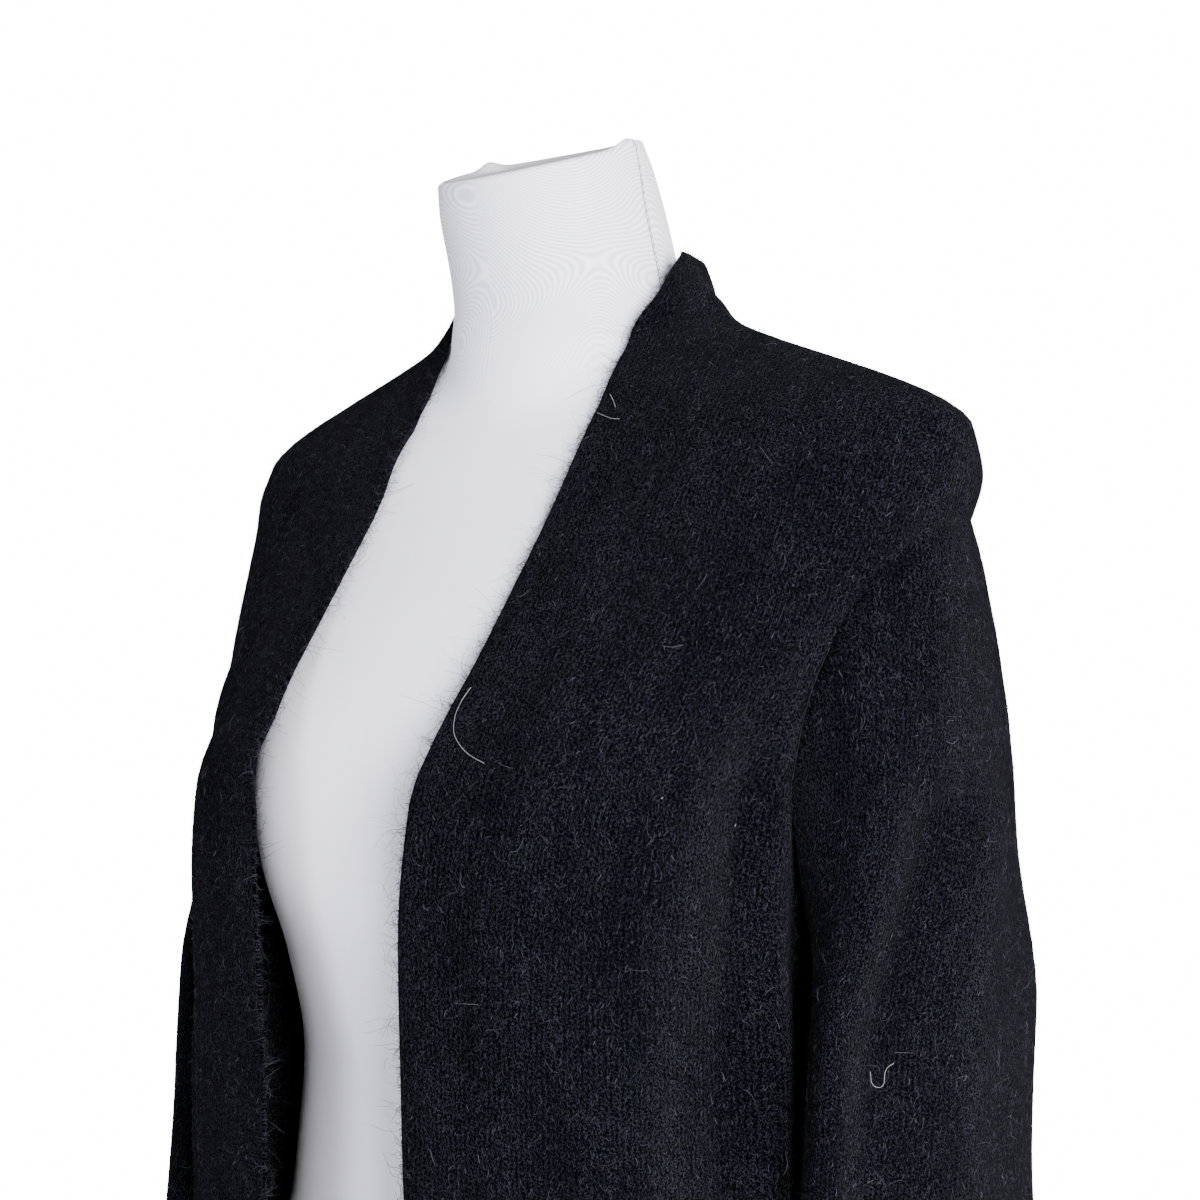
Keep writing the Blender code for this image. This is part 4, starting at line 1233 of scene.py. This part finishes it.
def unit(vectors):
    """The vectors, each one long."""
    return vectors / np.maximum(np.linalg.norm(vectors, axis=-1, keepdims=True), 1e-9)


def roots_on(panel, per_cm2, rng):
    """Random places on a panel's outer face, with the directions out, up the wale and across it."""
    triangles, spots = [], []
    for face, spot in zip(panel.faces, panel.corners):
        for i in range(1, len(face) - 1):
            triangles.append((face[0], face[i], face[i + 1]))
            spots.append((spot[0], spot[i], spot[i + 1]))
    triangles, spots = np.array(triangles), np.array(spots)
    a, b, c = (panel.points[triangles[:, i]] for i in range(3))
    area = np.linalg.norm(np.cross(b - a, c - a), axis=1) / 2
    picked = rng.choice(len(area), int(area.sum() * per_cm2), p=area / area.sum())
    r = rng.random((2, len(picked), 1))
    r = np.where(r.sum(0) > 1, 1 - r, r)
    a, b, c, triangles, spots = a[picked], b[picked], c[picked], triangles[picked], spots[picked]
    place = a + (b - a) * r[0] + (c - a) * r[1]
    n = panel.normals[triangles]
    out = unit(n[:, 0] + (n[:, 1] - n[:, 0]) * r[0] + (n[:, 2] - n[:, 0]) * r[1])
    first, second = spots[:, 1] - spots[:, 0], spots[:, 2] - spots[:, 0]
    turned = np.sign(first[:, :1] * second[:, 1:] - second[:, :1] * first[:, 1:])
    wale = unit(((c - a) * first[:, :1] - (b - a) * second[:, :1]) * turned)
    wale = unit(wale - (wale * out).sum(1, keepdims=True) * out)
    return place, out, wale, np.cross(wale, out)


def grow(start, heading, length, bend, wander, steps, rng):
    """Paths of curling fibres: each turns steadily by its bend and wanders a little at every step."""
    path, heading = [start], unit(heading)
    for _ in range(steps):
        path.append(path[-1] + heading * length / steps)
        heading = unit(heading + bend / steps + rng.normal(0, wander, heading.shape))
    return np.stack(path, 1)


def add_fibres(name, groups):
    """One piece of many tapered strips. Each group is paths, widths, the strips' facing and tones."""
    points, quads, tips = [], [], []
    quad_tones, tip_tones = [], []
    count = 0
    for paths, width, facing, tone in groups:
        number, length = paths.shape[:2]
        steps = length - 1
        along = unit(np.diff(paths, axis=1))
        side = unit(np.cross(along, facing[:, None])) * width[:, None, None] / 2
        taper = np.sqrt(1 - np.linspace(0, 1, steps, endpoint=False) ** 2)[None, :, None]
        left, right = paths[:, :-1] - side * taper, paths[:, :-1] + side * taper
        pairs = np.stack((left, right), 2).reshape(number, steps * 2, 3)
        points.append(np.concatenate((pairs, paths[:, -1:]), 1).reshape(-1, 3))
        first = count + np.arange(number)[:, None] * (2 * steps + 1)
        k = 2 * np.arange(steps - 1)
        quads.append(np.stack((first + k, first + k + 1, first + k + 3, first + k + 2), -1).reshape(-1, 4))
        end = first[:, 0] + 2 * (steps - 1)
        tips.append(np.stack((end, end + 1, end + 2), -1))
        quad_tones.append(np.repeat(tone, steps - 1))
        tip_tones.append(tone)
        count += number * (2 * steps + 1)
    quads, tips = np.concatenate(quads), np.concatenate(tips)
    piece = add_piece(name, np.concatenate(points), quads.tolist() + tips.tolist())
    for paint in fibre_paints:
        piece.data.materials.append(paint)
    tones = np.concatenate((*quad_tones, *tip_tones)).astype(np.int32)
    piece.data.polygons.foreach_set("material_index", tones)
    return piece


def nap_of(panel, rng, per_cm2, long_per_cm2):
    """Short lying fibres, and longer curling ones."""
    place, out, wale, across = roots_on(panel, per_cm2, rng)
    n = len(place)
    lean = np.radians(rng.normal(8, 24, n) + rng.choice((0.0, 180.0), n, p=(0.35, 0.65)))[:, None]
    lying = np.cos(lean) * wale + np.sin(lean) * across
    stand = rng.gamma(2.0, 0.22, (n, 1))
    length = rng.uniform(*SHORT_LENGTHS, (n, 1))
    bend = -out * (0.5 + 1.3 * stand) + np.cross(lying, out) * rng.normal(0, 0.9, (n, 1))
    paths = grow(place - ROOT_DEPTH * out, lying + stand * out, length, bend, 0.10, 3, rng)
    width = rng.uniform(*SHORT_WIDTHS, n)
    tone = rng.choice(3, n, p=SHORT_TONES)
    groups = [(paths, width, out + rng.normal(0, 0.45, out.shape), tone)]
    place, out, wale, across = roots_on(panel, long_per_cm2, rng)
    n = len(place)
    lean = rng.uniform(0, 2 * math.pi, (n, 1))
    lying = np.cos(lean) * wale + np.sin(lean) * across
    length = rng.uniform(*LONG_LENGTHS, (n, 1))
    bend = -out * rng.uniform(0.9, 1.6, (n, 1)) + np.cross(lying, out) * rng.normal(0, 1.6, (n, 1))
    paths = grow(place, lying + rng.uniform(0.25, 0.9, (n, 1)) * out, length, bend, 0.16, 7, rng)
    tone = rng.choice(3, n, p=LONG_TONES)
    width = rng.uniform(*LONG_WIDTHS, n)
    groups.append((paths, width, out + rng.normal(0, 0.5, out.shape), tone))
    return groups


# Sizes of the fibres that stand off the free edges: long curls, shorter up at the neck, and a dense
# low fuzz between them.
CURL_SHORTEST, CURL_LONGEST = 0.25, 2.8
CURL_WIDTHS = (0.012, 0.020)
CURL_TONES = (0.75, 0.25)
CURL_BENDS = (2.0, 11.0)
NECK_CURLS_FROM = BAND_SEAM - 1.5
NECK_CURL_SHARE = 0.45
FUZZ_LENGTHS, FUZZ_WIDTHS = (0.08, 0.26), (0.016, 0.026)


def edge_curls(panel, rng, per_cm):
    """Fibres that spring from a panel's free edges."""
    ends = np.array([(a, b) for (a, b), _ in panel.border() if panel.free[a] and panel.free[b]])
    length = np.linalg.norm(panel.points[ends[:, 1]] - panel.points[ends[:, 0]], axis=1)
    picked = rng.choice(len(ends), int(length.sum() * per_cm), p=length / length.sum())
    n = len(picked)
    share = rng.random((n, 1))
    a, b = ends[picked].T

    def between(values):
        """What holds at the picked places, between the values at the edges' two ends."""
        return values[a] + (values[b] - values[a]) * share

    out, away = unit(between(panel.normals)), unit(between(panel.outward))
    along = unit(panel.points[b] - panel.points[a])
    place = between(panel.points) - out * WALL * rng.uniform(0.1, 0.8, (n, 1)) + away * WALL * 0.4
    heading = away + out * rng.normal(0.1, 0.5, (n, 1)) + along * rng.normal(0, 0.8, (n, 1))
    bend = unit(rng.normal(0, 1, (n, 3))) * rng.uniform(*CURL_BENDS, (n, 1))
    size = np.minimum(CURL_SHORTEST + rng.gamma(1.5, 0.46, (n, 1)), CURL_LONGEST)
    size = size * np.where(place[:, 2:] > NECK_CURLS_FROM, NECK_CURL_SHARE, 1.0)
    paths = grow(place, heading, size, bend, 0.30, 9, rng)
    tone = rng.choice(2, n, p=CURL_TONES)
    groups = [(paths, rng.uniform(*CURL_WIDTHS, n), rng.normal(0, 1, (n, 3)), tone)]
    start = place + away * WALL * rng.uniform(-0.5, 0.1, (n, 1)) + along * rng.uniform(-0.4, 0.4, (n, 1))
    heading = away + out * rng.normal(0.6, 0.6, (n, 1)) + along * rng.normal(0, 0.9, (n, 1))
    bend = unit(rng.normal(0, 1, (n, 3))) * rng.uniform(0.5, 2.0, (n, 1))
    fuzz = grow(start, heading, rng.uniform(*FUZZ_LENGTHS, (n, 1)), bend, 0.10, 3, rng)
    width = rng.uniform(*FUZZ_WIDTHS, n)
    groups.append((fuzz, width, out + rng.normal(0, 0.6, (n, 3)), rng.choice(2, n)))
    return groups


# Each panel's nap, the cut and rest of its cloth, the seed, and the number of short and of long fibres
# to a square centimetre and of curls to a centimetre of free edge.
NAP_PIECES = (
    ("nap_back", (back_panel, back), back_cut, "form_cover", 31, 6.0, 0.35, 0.0),
    ("nap_front_left", fronts["left"], front_cut, "form_cover", 32, 11.0, 0.5, 26.0),
    ("nap_front_right", fronts["right"], front_cut, "form_cover", 33, 11.0, 0.5, 20.0),
    ("nap_sleeve_left", sleeves["left"], sleeve_cut, "cardigan_front_left", 34, 11.0, 0.5, 12.0),
    ("nap_sleeve_right", sleeves["right"], sleeve_cut, "cardigan_front_right", 35, 11.0, 0.5, 12.0),
    ("nap_neck_band", (band_panel, band), band_cut, "cardigan_back", 36, 12.0, 0.5, 14.0),
)
for name, (panel, cloth), cut, rests_on, seed, short, long, curls in NAP_PIECES:
    rng = np.random.default_rng(seed)
    groups = nap_of(panel, rng, short, long)
    if curls:
        groups += edge_curls(panel, rng, curls)
    nap = add_fibres(name, groups)

# ---------------------------------------------------------------------------------------------------
# Stray hairs: a few pale hairs and bits of lint that cling to the left side. Those on the body go by
# angle and height, and those on the sleeve by the share of the way round its outer half and height.
BODY_STRAYS = (
    ((-64.4, 123.0), (-65.6, 122.4), (-66.1, 121.8), (-65.8, 121.25), (-64.6, 120.75), (-62.4, 120.25),
     (-59.7, 119.9)),
    ((-39.4, 136.8), (-39.3, 136.6), (-39.4, 136.3), (-39.6, 136.05)),
    ((-44.8, 135.8), (-42.8, 135.55), (-41.3, 135.4), (-39.9, 135.38)),
    ((-22.0, 117.20), (-21.9, 117.22), (-21.85, 117.25), (-21.8, 117.3)),
    ((-35.5, 118.6), (-35.4, 118.6), (-35.3, 118.63), (-35.25, 118.66)),
)
SLEEVE_STRAYS = (
    ((-0.385, 107.0), (-0.38, 106.6), (-0.365, 106.35), (-0.35, 106.3), (-0.338, 106.5), (-0.338, 106.8),
     (-0.332, 107.1), (-0.315, 107.3)),
)
STRAY_RADIUS = 0.0065
STRAY_LIFT = 0.12
STRAY_POINTS = 25
cords = []
for table, on_sleeve in ((BODY_STRAYS, False), (SLEEVE_STRAYS, True)):
    for stray in table:
        stations = np.arange(len(stray))
        fine = np.linspace(0, len(stray) - 1, STRAY_POINTS)
        across, rise = Sections(np.column_stack((stations, stray))).read(fine)
        if on_sleeve:
            never = np.zeros(STRAY_POINTS, bool)
            point = sleeve_point(1, across, never, rise, never)
            out = oval(across, never, rise)[1]
        else:
            left = np.ones(STRAY_POINTS)
            point, out = garment_point(left, across, rise), garment_normal(left, across, rise)
        cords.append(point + STRAY_LIFT * out)
strays = add_piece("stray_hairs", *sweep(cords, STRAY_RADIUS))
pale = Finish("stray_hair", Base_Color=(0.34, 0.34, 0.36), Roughness=0.5)
strays.data.materials.append(pale.material)
